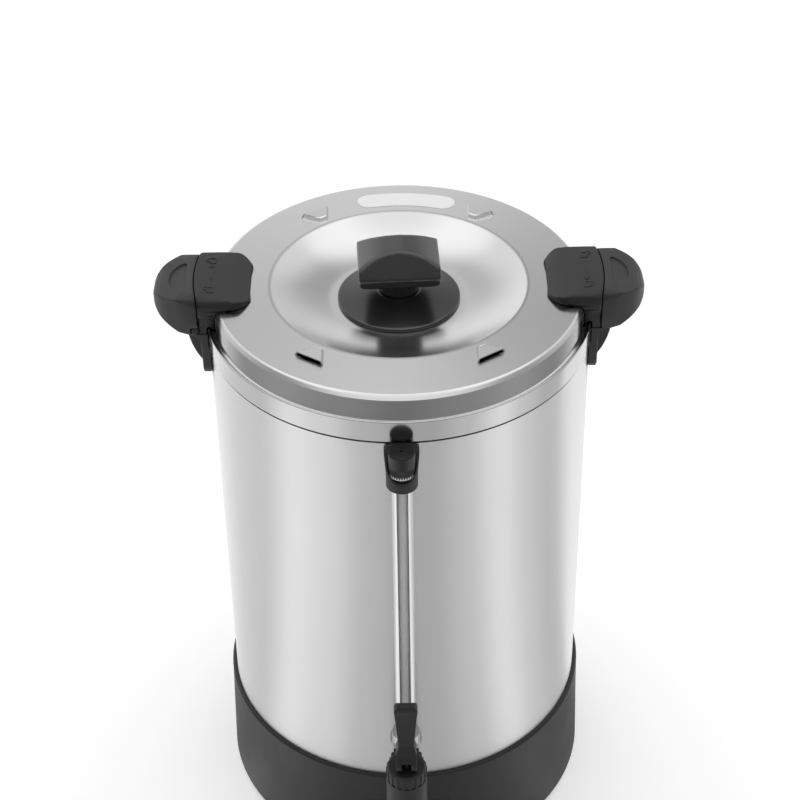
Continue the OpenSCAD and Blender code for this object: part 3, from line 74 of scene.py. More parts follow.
class Socket(enum.Enum):
    """Input sockets of the Principled shader that the finishes feed."""

    COLOUR = "Base Color"
    METALLIC = "Metallic"
    ROUGHNESS = "Roughness"
    IOR = "IOR"
    NORMAL = "Normal"
    ANISOTROPY = "Anisotropic"
    TURN = "Anisotropic Rotation"
    TANGENT = "Tangent"
    SPECULAR = "Specular IOR Level"
    TRANSMISSION = "Transmission Weight"
    SUBSURFACE = "Subsurface Weight"
    SUBSURFACE_SCALE = "Subsurface Scale"
    GLOW = "Emission Strength"
    GLOW_COLOUR = "Emission Color"


class Grain(enum.Enum):
    """Direction of the polishing lines on a metal face."""

    AROUND = "around the wall"
    CONCENTRIC = "in rings about the axis"
    UPRIGHT = "straight up"
    NONE = "no direction"


class Body(enum.Enum):
    """Bodies of the frame that the added pieces ride on."""

    URN = "urn"
    LID = "lid"
    PLUG = "plug"
    ROCKER = "rocker"


def grey(level: float) -> Colour:
    """Gives an even grey of a brightness."""
    return (level, level, level)


class Graph:
    """Node tree, with short ways to add its nodes and feed their inputs."""

    def __init__(self, tree: NodeTree) -> None:
        """Takes in the node tree of a material, the world or a modifier."""
        self.tree = tree

    def add(self, kind: str, *values: object, **settings: object) -> Node:
        """Adds a node.

        Args:
            kind: Blender's type of the node.
            *values: What its inputs are fed with, in their order.
            **settings: Properties of the node, or its inputs by name.

        Returns:
            The new node.
        """
        node = self.tree.nodes.new(kind)
        for key, value in settings.items():
            if hasattr(node, key):
                setattr(node, key, value)
            else:
                self.feed(node.inputs[key], value)
        for slot, value in zip(node.inputs, values):
            self.feed(slot, value)
        return node

    def feed(self, slot: NodeSocket, value: object) -> None:
        """Joins an output to an input, or sets the input's own value.

        Args:
            slot: Input to feed.
            value: Output of another node, or a number, a colour or a vector.
        """
        if isinstance(value, NodeSocket):
            self.tree.links.new(value, slot)
        else:
            slot.default_value = (*value, 1.0) if slot.type == "RGBA" else value

    def calc(self, kind: str, *values: object) -> NodeSocket:
        """Adds one step of arithmetic."""
        return self.add("ShaderNodeMath", *values, operation=kind).outputs[0]

    def vector(self, kind: str, *values: object) -> NodeSocket:
        """Adds one step of vector arithmetic, where a number's output stands for all three parts."""
        return self.add("ShaderNodeVectorMath", *values, operation=kind).outputs[0]

    def split(self, vector: NodeSocket) -> list[NodeSocket]:
        """Gives the x, y and z of a vector."""
        return list(self.add("ShaderNodeSeparateXYZ", vector).outputs)

    def join(self, *pairs: tuple[NodeSocket, object]) -> NodeSocket:
        """Makes a vector whose x, y and z are each the product of a pair."""
        return self.add("ShaderNodeCombineXYZ", *(self.calc("MULTIPLY", *pair) for pair in pairs)).outputs[0]

    def radius(self, x: NodeSocket, y: NodeSocket) -> NodeSocket:
        """Gives the distance from the urn's axis."""
        square = self.calc("ADD", self.calc("MULTIPLY", x, x), self.calc("MULTIPLY", y, y))
        return self.calc("POWER", square, 0.5)

    def remap(self, source: NodeSocket, span: Pair, to: Pair = (0.0, 1.0), **settings: object) -> NodeSocket:
        """Maps the ends of a span to another's, and clips what is outside it."""
        return self.add("ShaderNodeMapRange", source, *span, *to, **settings).outputs[0]

    def blend(self, factor: NodeSocket, first: object, second: object) -> NodeSocket:
        """Mixes two colours.

        Args:
            factor: Share of the second colour.
            first: Colour at 0, or an output that gives it.
            second: Colour at 1, or an output that gives it.

        Returns:
            The mixed colour.
        """
        node = self.add("ShaderNodeMix", data_type="RGBA")
        for slot, value in zip((0, 6, 7), (factor, first, second)):
            self.feed(node.inputs[slot], value)
        return node.outputs[2]


class Palette(Graph):
    """Node tree of one material."""

    def __init__(self, name: str) -> None:
        """Starts a material with a Principled shader.

        Args:
            name: Name of the material.
        """
        self.material = bpy.data.materials.new(name)
        self.material.use_nodes = True
        super().__init__(self.material.node_tree)
        self.shader = next(n for n in self.tree.nodes if n.type == "BSDF_PRINCIPLED")

    def set(self, socket: Socket, value: object) -> None:
        """Feeds one of the shader's own sockets, with an even value or an output."""
        self.feed(self.shader.inputs[socket.value], value)

    def place(self) -> NodeSocket:
        """Gives the point in the piece's own rest frame."""
        return self.add("ShaderNodeTexCoord").outputs["Object"]

    def noise(self, scale: float, detail: float = 2.0, where: object = None) -> NodeSocket:
        """Adds a noise, by its cells in a metre and its octaves, at a place or in the piece's own frame."""
        return self.add("ShaderNodeTexNoise", where or self.place(), Scale=scale, Detail=detail).outputs[0]

    def spread(self, source: NodeSocket, low: float, high: float) -> NodeSocket:
        """Maps the middle of a noise to a range."""
        return self.remap(source, NOISE_MIDDLE, (low, high))

    def vary(self, source: NodeSocket, roughness: float, span: Pair) -> None:
        """Varies the roughness with a noise, between two shares of it."""
        self.set(Socket.ROUGHNESS, self.spread(source, roughness * span[0], roughness * span[1]))

    def fade(self, source: NodeSocket, colour: Colour, more: float) -> None:
        """Varies the colour from its own, at 0, to one that is paler by some share more, at 1."""
        self.set(Socket.COLOUR, self.blend(source, colour, tuple(min(1.0, c * (1.0 + more)) for c in colour)))

    def relief(self, height: NodeSocket, depth: float, strength: float) -> NodeSocket:
        """Bumps the surface.

        Args:
            height: Height from 0 to 1.
            depth: Height of the relief in metres.
            strength: Share of it that shows.

        Returns:
            The bumped normal, which the shader takes.
        """
        bump = self.add("ShaderNodeBump", Strength=strength, Distance=depth, Height=height)
        self.set(Socket.NORMAL, bump.outputs[0])
        return bump.outputs[0]


@dataclass(frozen=True)
class RolledEdge:
    """Soft roll of a spun rim, in what it mirrors.

    Outside wall_r, the normal of a wall, which points up by less than wall_from, leans up by wall_lean. That
    of a level face below flange_z, which points up by more than level_from, leans out by flange_lean.
    """

    wall_r: float
    flange_z: float
    wall_lean: float
    flange_lean: float
    wall_from: float = 0.75
    wall_quick: float = 2.5
    level_from: float = 0.8

    def lean(self, palette: Palette, normal: NodeSocket) -> None:
        """Leans the shaded normal of the rim.

        Args:
            palette: Material of the lid.
            normal: Its bumped normal.
        """
        calc = palette.calc
        x, y, z = palette.split(palette.place())
        radius = palette.radius(x, y)
        rim = calc("GREATER_THAN", radius, self.wall_r)
        up = palette.split(palette.add("ShaderNodeNewGeometry").outputs["Normal"])[2]
        steep = calc("SUBTRACT", self.wall_from, calc("ABSOLUTE", up))
        steep = calc("MAXIMUM", calc("MULTIPLY", steep, self.wall_quick), 0.0)
        steep = calc("MULTIPLY", rim, calc("MINIMUM", steep, 1.0))
        level = calc("MULTIPLY", rim, calc("GREATER_THAN", up, self.level_from))
        level = calc("MULTIPLY", level, calc("LESS_THAN", z, self.flange_z))
        share = calc("DIVIDE", calc("MULTIPLY", level, self.flange_lean), radius)
        lean = palette.join((x, share), (y, share), (steep, self.wall_lean))
        palette.set(Socket.NORMAL, palette.vector("NORMALIZE", palette.vector("ADD", normal, lean)))


@dataclass(frozen=True)
class CreaseShade:
    """Painted shade: a darker line in the colour along a pressed crease, where shade falls."""

    radius: float
    half_width: float
    share: float

    def tone(self, palette: Palette, colour: NodeSocket) -> NodeSocket:
        """Darkens a colour along the crease with painted shade.

        Args:
            palette: Material of the sheet.
            colour: Its colour.

        Returns:
            The colour with the painted crease shade.
        """
        calc = palette.calc
        x, y, _ = palette.split(palette.place())
        off = calc("DIVIDE", calc("SUBTRACT", palette.radius(x, y), self.radius), self.half_width)
        near = calc("MAXIMUM", calc("SUBTRACT", 1.0, calc("MULTIPLY", off, off)), 0.0)
        return palette.vector("MULTIPLY", colour, calc("SUBTRACT", 1.0, calc("MULTIPLY", near, self.share)))


@dataclass(frozen=True)
class Skin:
    """Material of a finish, which each kind of finish paints in its own way."""

    name: str
    colour: Colour
    roughness: float

    def paint(self, palette: Palette) -> None:
        """Adds the finish's nodes to its empty material."""
        raise NotImplementedError

    def make(self) -> Material:
        """Builds the material.

        Returns:
            The new material.
        """
        palette = Palette(self.name)
        self.paint(palette)
        return palette.material


@dataclass(frozen=True)
class Steel(Skin):
    """Stainless sheet with polishing lines.

    The streaks follow the lines by line_share, and clouds by the rest. Lines around the axis have their
    length at length_r, and change with the radius by radial_scale cells in a metre.
    """

    grain: Grain = Grain.NONE
    anisotropy: float = 0.0
    line_pitch: float = 0.0004
    line_length: float = 0.06
    line_depth: float = 0.000002
    tint_share: float = 0.985
    rough_share: float = 0.06
    rolled: RolledEdge | None = None
    # Painted shade along a crease, which darkens the colour.
    crease_shade: CreaseShade | None = None
    even_pitches: float = 8.0
    length_r: float = 0.13
    radial_scale: float = 20.0
    line_share: float = 0.6
    cloud_scale: float = 9.0
    turn: float = 0.25

    def lines(self, palette: Palette) -> NodeSocket:
        """Gives the polishing lines.

        Args:
            palette: Material to add them to.

        Returns:
            Noise value drawn out along the lines.
        """
        x, y, z = palette.split(palette.place())
        across, along = 1.0 / self.line_pitch, 1.0 / self.line_length
        if self.grain is Grain.NONE:
            scaled = [(value, across / self.even_pitches) for value in (x, y, z)]
        elif self.grain is Grain.UPRIGHT:
            scaled = [(x, across), (y, across), (z, along)]
        else:
            turn, radius = palette.calc("ARCTAN2", y, x), palette.radius(x, y)
            step = z if self.grain is Grain.AROUND else radius
            scaled = [(turn, along * self.length_r), (step, across), (radius, self.radial_scale)]
        return palette.noise(1.0, OCTAVES, palette.join(*scaled))

    def paint(self, palette: Palette) -> None:
        """Adds the lines, the clouds and what the grain, the edge and the painted crease shade ask for.

        Args:
            palette: Material to add them to.
        """
        palette.set(Socket.METALLIC, 1.0)
        palette.set(Socket.ANISOTROPY, self.anisotropy)
        lines, cloud = self.lines(palette), palette.noise(self.cloud_scale, OCTAVES)
        cloud = palette.calc("MULTIPLY", cloud, 1.0 - self.line_share)
        shade = palette.calc("ADD", palette.calc("MULTIPLY", lines, self.line_share), cloud)
        dull = tuple(self.tint_share * c for c in self.colour)
        tone = palette.blend(palette.spread(shade, 0.0, 1.0), dull, self.colour)
        # The crease darkens the colour with painted shade.
        palette.set(Socket.COLOUR, self.crease_shade.tone(palette, tone) if self.crease_shade else tone)
        palette.vary(shade, self.roughness, (1.0 - self.rough_share, 1.0 + self.rough_share))
        if self.grain in (Grain.AROUND, Grain.CONCENTRIC):
            tangent = palette.add("ShaderNodeTangent", direction_type="RADIAL", axis="Z")
            palette.set(Socket.TANGENT, tangent.outputs[0])
            palette.set(Socket.TURN, self.turn)
        normal = palette.relief(lines, self.line_depth, 1.0)
        if self.rolled:
            self.rolled.lean(palette, normal)


@dataclass(frozen=True)
class Plastic(Skin):
    """Moulded plastic or rubber with a fine grain."""

    grain_pitch: float = 0.0005
    grain_depth: float = 0.00004
    paler: float = 0.25
    subsurface: float = 0.0
    specular: float = 0.5
    cloud_scale: float = 22.0
    rough_span: Pair = (0.92, 1.1)
    grain_share: float = 0.6
    scatter: float = 0.002

    def paint(self, palette: Palette) -> None:
        """Adds the clouds and the grain.

        Args:
            palette: Material to add them to.
        """
        cloud = palette.noise(self.cloud_scale, OCTAVES)
        palette.fade(palette.spread(cloud, 0.0, 1.0), self.colour, self.paler)
        palette.vary(cloud, self.roughness, self.rough_span)
        palette.relief(palette.noise(1.0 / self.grain_pitch), self.grain_depth, self.grain_share)
        palette.set(Socket.SPECULAR, self.specular)
        palette.set(Socket.SUBSURFACE, self.subsurface)
        palette.set(Socket.SUBSURFACE_SCALE, self.scatter)


@dataclass(frozen=True)
class Clear(Skin):
    """Clear or tinted see-through plastic or glass."""

    ior: float
    transmission: float
    rib_pitch: float = 0.0
    rib_depth: float = 0.0002
    rib_share: float = 0.8
    haze_scale: float = 60.0
    paler: float = 0.04
    rough_span: Pair = (1.0, 2.0)

    def paint(self, palette: Palette) -> None:
        """Adds the haze, and the ribs of a lens.

        Args:
            palette: Material to add them to.
        """
        palette.set(Socket.IOR, self.ior)
        palette.set(Socket.TRANSMISSION, self.transmission)
        haze = palette.noise(self.haze_scale, OCTAVES)
        palette.fade(haze, self.colour, self.paler)
        palette.vary(haze, self.roughness, self.rough_span)
        if self.rib_pitch:
            x = palette.split(palette.place())[0]
            wave = palette.calc("SINE", palette.calc("MULTIPLY", x, math.tau / self.rib_pitch))
            palette.relief(wave, self.rib_depth, self.rib_share)


@dataclass(frozen=True)
class Cast(Skin):
    """Dull metal or baked resin with mottled tone, such as a heater's sheath."""

    second: Colour
    metallic: float = 1.0
    mottle: float = 90.0
    octaves: float = 5.0
    rough_span: Pair = (0.85, 1.15)
    grain_scale: float = 1500.0
    grain_depth: float = 0.00004
    grain_share: float = 0.6

    def paint(self, palette: Palette) -> None:
        """Adds the mottled tone and the grain.

        Args:
            palette: Material to add them to.
        """
        palette.set(Socket.METALLIC, self.metallic)
        cloud = palette.noise(self.mottle, self.octaves)
        palette.set(Socket.COLOUR, palette.blend(palette.spread(cloud, 0.0, 1.0), self.colour, self.second))
        palette.vary(cloud, self.roughness, self.rough_span)
        palette.relief(palette.noise(self.grain_scale), self.grain_depth, self.grain_share)


class Finish(enum.Enum):
    """Finishes of the urn's pieces."""

    SHELL = Steel("brushed_shell", (0.83, 0.83, 0.835), 0.36, Grain.AROUND, 0.95, 0.00025, 0.09, 0.000003)
    # The lid's colour has painted shade along the crease between its dish and its flat.
    LID = Steel("spun_lid", (0.66, 0.66, 0.665), 0.21, Grain.CONCENTRIC, 0.6, 0.0002, 0.12, 0.000001,
                rolled=RolledEdge(0.131, 0.4475, 0.75, 0.4), crease_shade=CreaseShade(0.0926, 0.0017, 0.22))
    BAND = Steel("bright_band", (0.6, 0.6, 0.605), 0.13, Grain.AROUND, 0.4, 0.0002, 0.09, 0.000001)
    POLISHED = Steel("polished_guard", (0.78, 0.78, 0.785), 0.12, Grain.UPRIGHT, 0.0, 0.0002, 0.05, 0.0000008)
    FIXING = Steel("fixing_steel", (0.6, 0.6, 0.61), 0.3, line_depth=0.000004, tint_share=0.93,
                   rough_share=0.12)
    # Bright steel painted as the highlights on the louvers' tips and sides.
    PRESSED = Steel("painted_louver_highlight", (0.97, 0.97, 0.97), 0.5)
    BLACK = Plastic("black_nylon", (0.0125, 0.0125, 0.013), 0.5)
    GRIP = Plastic("black_handle_nylon", (0.022, 0.022, 0.0225), 0.5)
    PLUG = Plastic("black_plug", (0.0095, 0.0095, 0.01), 0.36, 0.0006, 0.000012, specular=0.4)
    GLOSS = Plastic("black_glossy_nylon", (0.017, 0.017, 0.0175), 0.24, 0.0006, 0.000012, specular=0.9)
    # Colour of the dark ring that is painted as the shadow under the rim.
    SEAM = Plastic("painted_gap_shadow", (0.012, 0.012, 0.012), 0.6, 0.0004, 0.00001)
    RUBBER = Plastic("black_rubber_grip", (0.016, 0.016, 0.017), 0.72, 0.0008, 0.00008)
    SILICONE = Plastic("grey_silicone", (0.5, 0.49, 0.47), 0.5, 0.001, 0.00002, 0.06, 0.3)
    TUBE = Clear("sight_tube", (0.93, 0.935, 0.94), 0.35, 1.3, 0.45)
    HEATER = Cast("heater_sheath", (0.3, 0.29, 0.28), 0.45, (0.42, 0.41, 0.4))
    RESIN = Cast("moulded_resin", (0.16, 0.085, 0.035), 0.5, (0.22, 0.12, 0.05), 0.0, 240.0)
    PALE = Plastic("pale_marking", (0.55, 0.55, 0.54), 0.45, 0.0006, 0.00003, 0.06)
    BRASS = Cast("blade_brass", (0.62, 0.45, 0.2), 0.28, (0.7, 0.52, 0.26))
    RED = Clear("red_lens_cap", (0.75, 0.03, 0.02), 0.12, 1.49, 0.5, 0.0009)
    GREEN = Clear("green_lens_cap", (0.04, 0.5, 0.08), 0.12, 1.49, 0.5, 0.0009)
    LABEL = Plastic("label_film", (0.93, 0.93, 0.925), 0.35, 0.002, 0.00001, 0.03)
    # White painted as the highlights on the lower ends of the plug's teeth.
    GASKET = Plastic("painted_plug_glint", (0.8, 0.8, 0.79), 0.45, 0.001, 0.00001, 0.04)
    PLATE = Steel("blank_plate", (0.8, 0.8, 0.8), 0.34, Grain.AROUND, 0.5, 0.0003, 0.03, 0.000003)

    def material(self) -> Material:
        """Gives the finish's material, made once."""
        return bpy.data.materials.get(self.value.name) or self.value.make()


class Soften:
    """Small rounding and even shading on the edges of a solid, with its own vertices kept."""

    WELD_GAP = 0.000002
    BEVEL_FROM = 42.0
    BEVEL_SEGMENTS = 2
    RUB_FACTOR = 0.5

    @classmethod
    def shading(cls, limit: float) -> NodeTree:
        """Gives the node group that shades smooth but for the sharp edges, made once for each limit.

        Args:
            limit: Angle between two faces in degrees, from which their edge stays sharp.

        Returns:
            The node group.
        """
        name = f"shade_by_angle_{limit:.0f}"
        tree = bpy.data.node_groups.get(name)
        if tree is None:
            tree = bpy.data.node_groups.new(name, "GeometryNodeTree")
            for way in ("INPUT", "OUTPUT"):
                tree.interface.new_socket("Geometry", in_out=way, socket_type="NodeSocketGeometry")
            graph = Graph(tree)
            angle = graph.add("GeometryNodeInputMeshEdgeAngle").outputs[0]
            gentle = graph.add("FunctionNodeCompare", angle, math.radians(limit), operation="LESS_THAN")
            shape = graph.add("NodeGroupInput")
            shape = graph.add("GeometryNodeSetShadeSmooth", shape.outputs[0], domain="FACE")
            shape = graph.add("GeometryNodeSetShadeSmooth", shape.outputs[0], domain="EDGE")
            graph.feed(shape.inputs["Shade Smooth"], gentle.outputs[0])
            graph.add("NodeGroupOutput", shape.outputs[0])
        return tree

    @classmethod
    def apply(cls, piece: Object, width: float, limit: float = SHARP_FROM) -> None:
        """Adds the modifiers that round and shade a piece.

        Args:
            piece: Mesh piece or solid of the frame.
            width: Width of the rounding, or 0 for shading alone.
            limit: Angle in degrees from which an edge stays sharp.
        """
        normals = piece.data.attributes.get("custom_normal")
        if normals is not None:
            piece.data.attributes.remove(normals)
        piece.modifiers.new("weld", "WELD").merge_threshold = cls.WELD_GAP
        if width:
            bevel = piece.modifiers.new("edge", "BEVEL")
            bevel.width, bevel.segments = width, cls.BEVEL_SEGMENTS
            bevel.limit_method, bevel.angle_limit = "ANGLE", math.radians(cls.BEVEL_FROM)
            bevel.use_clamp_overlap = False
            bevel.miter_outer = "MITER_ARC"
        piece.modifiers.new("shade", "NODES").node_group = cls.shading(limit)
        piece.modifiers.new("normals", "WEIGHTED_NORMAL").keep_sharp = True

    @classmethod
    def rub_down(cls, piece: Object, grid: float, passes: int) -> None:
        """Rounds every edge of a moulded piece softly, in place of a rounding of even width.

        Args:
            piece: Solid of the frame that Soften has been applied to with no width.
            grid: Size of the new faces.
            passes: Passes of smoothing, of which more make rounder edges.
        """
        remesh = piece.modifiers.new("grid", "REMESH")
        remesh.mode, remesh.voxel_size, remesh.use_smooth_shade = "VOXEL", grid, True
        smooth = piece.modifiers.new("rub", "SMOOTH")
        smooth.factor, smooth.iterations = cls.RUB_FACTOR, passes


class Ground:
    """Surface of one of the frame's solids, which added pieces are laid on."""

    def __init__(self, node: str) -> None:
        """Takes in a solid.

        Args:
            node: Name of its node.
        """
        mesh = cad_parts[node].data
        corners = [v.co for v in mesh.vertices]
        self.tree = BVHTree.FromPolygons(corners, [tuple(p.vertices) for p in mesh.polygons])

    def hit(self, start: Vector, way: Vector) -> Vector:
        """Gives the first point where a line from a start, in a direction, meets the solid."""
        return self.tree.ray_cast(start, way)[0]

    def top(self, x: float, y: float) -> float:
        """Gives the height of the solid's upper side at a place."""
        return self.hit(Vector((x, y, ABOVE)), Vector((0, 0, -1))).z


def new_object(name: str, data: bpy.types.ID) -> Object:
    """Makes an object and adds it to the scene.

    Args:
        name: Name of the object.
        data: Its mesh, lamp or camera.

    Returns:
        The new object.
    """
    made = bpy.data.objects.new(name, data)
    bpy.context.scene.collection.objects.link(made)
    return made


def mesh_piece(name: str, corners: list, faces: list, finish: Finish, body: Body) -> Object:
    """Makes a mesh piece that rides on a body.

    Args:
        name: Name of the piece.
        corners: Its corners.
        faces: Its faces, as indices of the corners.
        finish: Finish of the piece.
        body: Body that it rides on.

    Returns:
        The new object.
    """
    mesh = bpy.data.meshes.new(name)
    mesh.from_pydata(corners, [], faces, shade_flat=False)
    mesh.validate()
    mesh.materials.append(finish.material())
    piece = new_object(name, mesh)
    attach(piece, body.value)
    log.info("made %s with %d faces", name, len(mesh.polygons))
    return piece


def grid_faces(rows: int, columns: int, first: int = 0) -> list[tuple[int, ...]]:
    """Gives the faces of a grid whose corners are listed row by row.

    Args:
        rows: Rows of faces.
        columns: Faces in a row.
        first: Index of the first corner.

    Returns:
        The faces.
    """
    wide = columns + 1
    starts = (first + i * wide + j for i in range(rows) for j in range(columns))
    return [(k, k + 1, k + wide + 1, k + wide) for k in starts]


def ring(outline: Line, y: float, steps: int) -> tuple[list, list]:
    """Turns a closed outline about an upright axis in the urn's middle plane.

    Args:
        outline: Radius and height of each corner.
        y: Place of the axis.
        steps: Steps around it.

    Returns:
        Corners and faces of the ring.
    """
    corners, faces, count = [], [], len(outline)
    for i in range(steps):
        turn = math.tau * i / steps
        corners += [(r * math.cos(turn), y + r * math.sin(turn), z) for r, z in outline]
        here, there = count * i, count * ((i + 1) % steps)
        for j in range(count):
            k = (j + 1) % count
            faces.append((here + j, there + j, there + k, here + k))
    return corners, faces


Solids = dict[Finish, dict[str, float]]


@dataclass
class Dressing:
    """Finishes of the solids of one sub-assembly, each with the width of its edge rounding."""

    solids: Solids
    limit: float = SHARP_FROM

    def dress(self) -> None:
        """Gives each solid its finish and its rounding."""
        for finish, widths in self.solids.items():
            for name, width in widths.items():
                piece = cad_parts[name]
                piece.data.materials.clear()
                piece.data.materials.append(finish.material())
                Soften.apply(piece, width, self.limit)
                log.info("dressed %s as %s", name, finish.value.name)


@dataclass(frozen=True)
class Stroke:
    """Narrow raised line, for generic marks such as an arrow or a padlock."""

    width: float
    height: float
    sink: float = 0.0002
    step: float = 0.0012

    def path(self, points: Line) -> Line:
        """Splits a line into short steps.

        Args:
            points: Corners of the line.

        Returns:
            Points along it, no further apart than the step.
        """
        out = [points[0]]
        for (u0, v0), (u1, v1) in zip(points, points[1:]):
            count = max(1, math.ceil(math.hypot(u1 - u0, v1 - v0) / self.step))
            out += [(u0 + (u1 - u0) * i / count, v0 + (v1 - v0) * i / count) for i in range(1, count + 1)]
        return out

    def lay(self, lines: list[Line], ground: Ground, start: Point, along: Vector,
            across: Vector) -> tuple[list, list]:
        """Lays lines on the solid under them.

        Args:
            lines: Lines in the mark's own plane.
            ground: Solid that carries the mark.
            start: Middle of the mark, clear of the solid.
            along: The mark's first direction.
            across: Its second direction, square to the first.

        Returns:
            Corners and faces of the raised lines.
        """
        middle, way = Vector(start), -along.cross(across)
        corners, faces = [], []
        for line in lines:
            points = self.path(line)
            first = len(corners)
            for i, (u, v) in enumerate(points):
                before, after = points[max(0, i - 1)], points[min(len(points) - 1, i + 1)]
                turn = math.atan2(after[1] - before[1], after[0] - before[0])
                side = (-math.sin(turn) * self.width / 2, math.cos(turn) * self.width / 2)
                for sign in (-1, 1):
                    at = middle + along * (u + sign * side[0]) + across * (v + sign * side[1])
                    foot = ground.hit(at, way)
                    corners += [foot + way * self.sink, foot - way * self.height]
            for i in range(len(points) - 1):
                a, b = first + 4 * i, first + 4 * (i + 1)
                faces += [(a + 1, b + 1, b + 3, a + 3), (a, b, b + 1, a + 1), (a + 3, b + 3, b + 2, a + 2)]
            for k in (first, first + 4 * (len(points) - 1)):
                faces.append((k, k + 1, k + 3, k + 2))
        return corners, faces


def arc(middle: Pair, radius: float, start: float, end: float, count: int = 10) -> Line:
    """Gives points on an arc.

    Args:
        middle: Centre of the arc.
        radius: Its radius.
        start: Start angle in degrees.
        end: End angle in degrees.
        count: Steps along it.

    Returns:
        Points from start to end.
    """
    turns = (math.radians(start + (end - start) * i / count) for i in range(count + 1))
    return [(middle[0] + radius * math.cos(t), middle[1] + radius * math.sin(t)) for t in turns]


@dataclass
class Tank:
    """Double-walled body: the deep-drawn tank, the brushed shell and what holds them."""

    solids: Solids = field(default_factory=lambda: {
        Finish.BAND: {"inner_tank": 0.0},
        Finish.SHELL: {"outer_shell": 0.0},
        Finish.FIXING: {"heat_shield": 0.0, "tank_nut": 0.0002, "heater_clamp": 0.0},
        Finish.HEATER: {"main_heater": 0.0, "keep_warm_heater": 0.0}})
    # Place and size of the dark ring painted as the shadow under the folded rim.
    gap_shadow_z: float = 0.4275
    gap_shadow_r: float = 0.1381
    gap_shadow_half_w: float = 0.0003
    gap_shadow_half_h: float = 0.0008
    gap_shadow_sides: int = 6
    gap_shadow_steps: int = 180
    weld_half: float = 0.0011
    weld_low: float = 0.1
    weld_high: float = 0.428
    weld_lift: float = 0.00012
    weld_rows: int = 24
    weld_columns: int = 4
    plate_w: float = 0.062
    plate_h: float = 0.036
    plate_corner: float = 0.003
    plate_z: float = 0.165
    plate_lift: float = 0.0005
    plate_rows: int = 6
    plate_columns: int = 24

    def paint_gap_shadow(self) -> None:
        """Lays a dark ring under the folded rim, painted as the shadow in the gap between rim and shell."""
        leans = [math.tau * j / self.gap_shadow_sides for j in range(self.gap_shadow_sides)]
        outline = [(self.gap_shadow_r + self.gap_shadow_half_w * math.cos(lean),
                    self.gap_shadow_z + self.gap_shadow_half_h * math.sin(lean)) for lean in leans]
        mesh_piece("rim_gap_shadow", *ring(outline, 0.0, self.gap_shadow_steps), Finish.SEAM, Body.URN)

    def sheet(self, name: str, rows: Line, columns: int, lift: float, finish: Finish) -> None:
        """Lays a thin sheet on the back of the shell, with its edges down on it.

        Args:
            name: Name of the piece.
            rows: Height and half width of each row of corners.
            columns: Faces across it.
            lift: Thickness in metres.
            finish: Finish of the sheet.
        """
        shell_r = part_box("outer_shell")[1][0]
        ends = (rows[0][0], rows[-1][0])
        corners = []
        for z, half in rows:
            for j in range(columns + 1):
                turn = math.pi / 2 + half / shell_r * (2 * j / columns - 1)
                r = shell_r + (lift if 0 < j < columns and z not in ends else 0.0)
                corners.append((r * math.cos(turn), r * math.sin(turn), z))
        faces = [(a, d, c, b) for a, b, c, d in grid_faces(len(rows) - 1, columns)]
        mesh_piece(name, corners, faces, finish, Body.URN)

    def weld(self) -> None:
        """Lays the ground weld line up the shell's back."""
        rise, count = self.weld_high - self.weld_low, self.weld_rows
        rows = [(self.weld_low + rise * i / count, self.weld_half) for i in range(count + 1)]
        self.sheet("shell_weld", rows, self.weld_columns, self.weld_lift, Finish.SHELL)

    def plate(self) -> None:
        """Lays the bare rating plate on the shell's back."""
        ends = []
        for i in range(self.plate_rows + 1):
            lean = math.pi / 2 * i / self.plate_rows
            cut = self.plate_corner * (1 - math.sin(lean))
            ends.append((self.plate_corner * (1 - math.cos(lean)), self.plate_w / 2 - cut))
        low = self.plate_z - self.plate_h / 2
        rows = [(low + z, half) for z, half in ends]
        rows += [(low + self.plate_h - z, half) for z, half in reversed(ends)]
        self.sheet("bare_plate", rows, self.plate_columns, self.plate_lift, Finish.PLATE)

    def build(self) -> None:
        """Dresses the body and adds the dark ring of painted shadow under its rim, its weld and its plate."""
        Dressing(self.solids).dress()
        self.paint_gap_shadow()
        self.weld()
        self.plate()


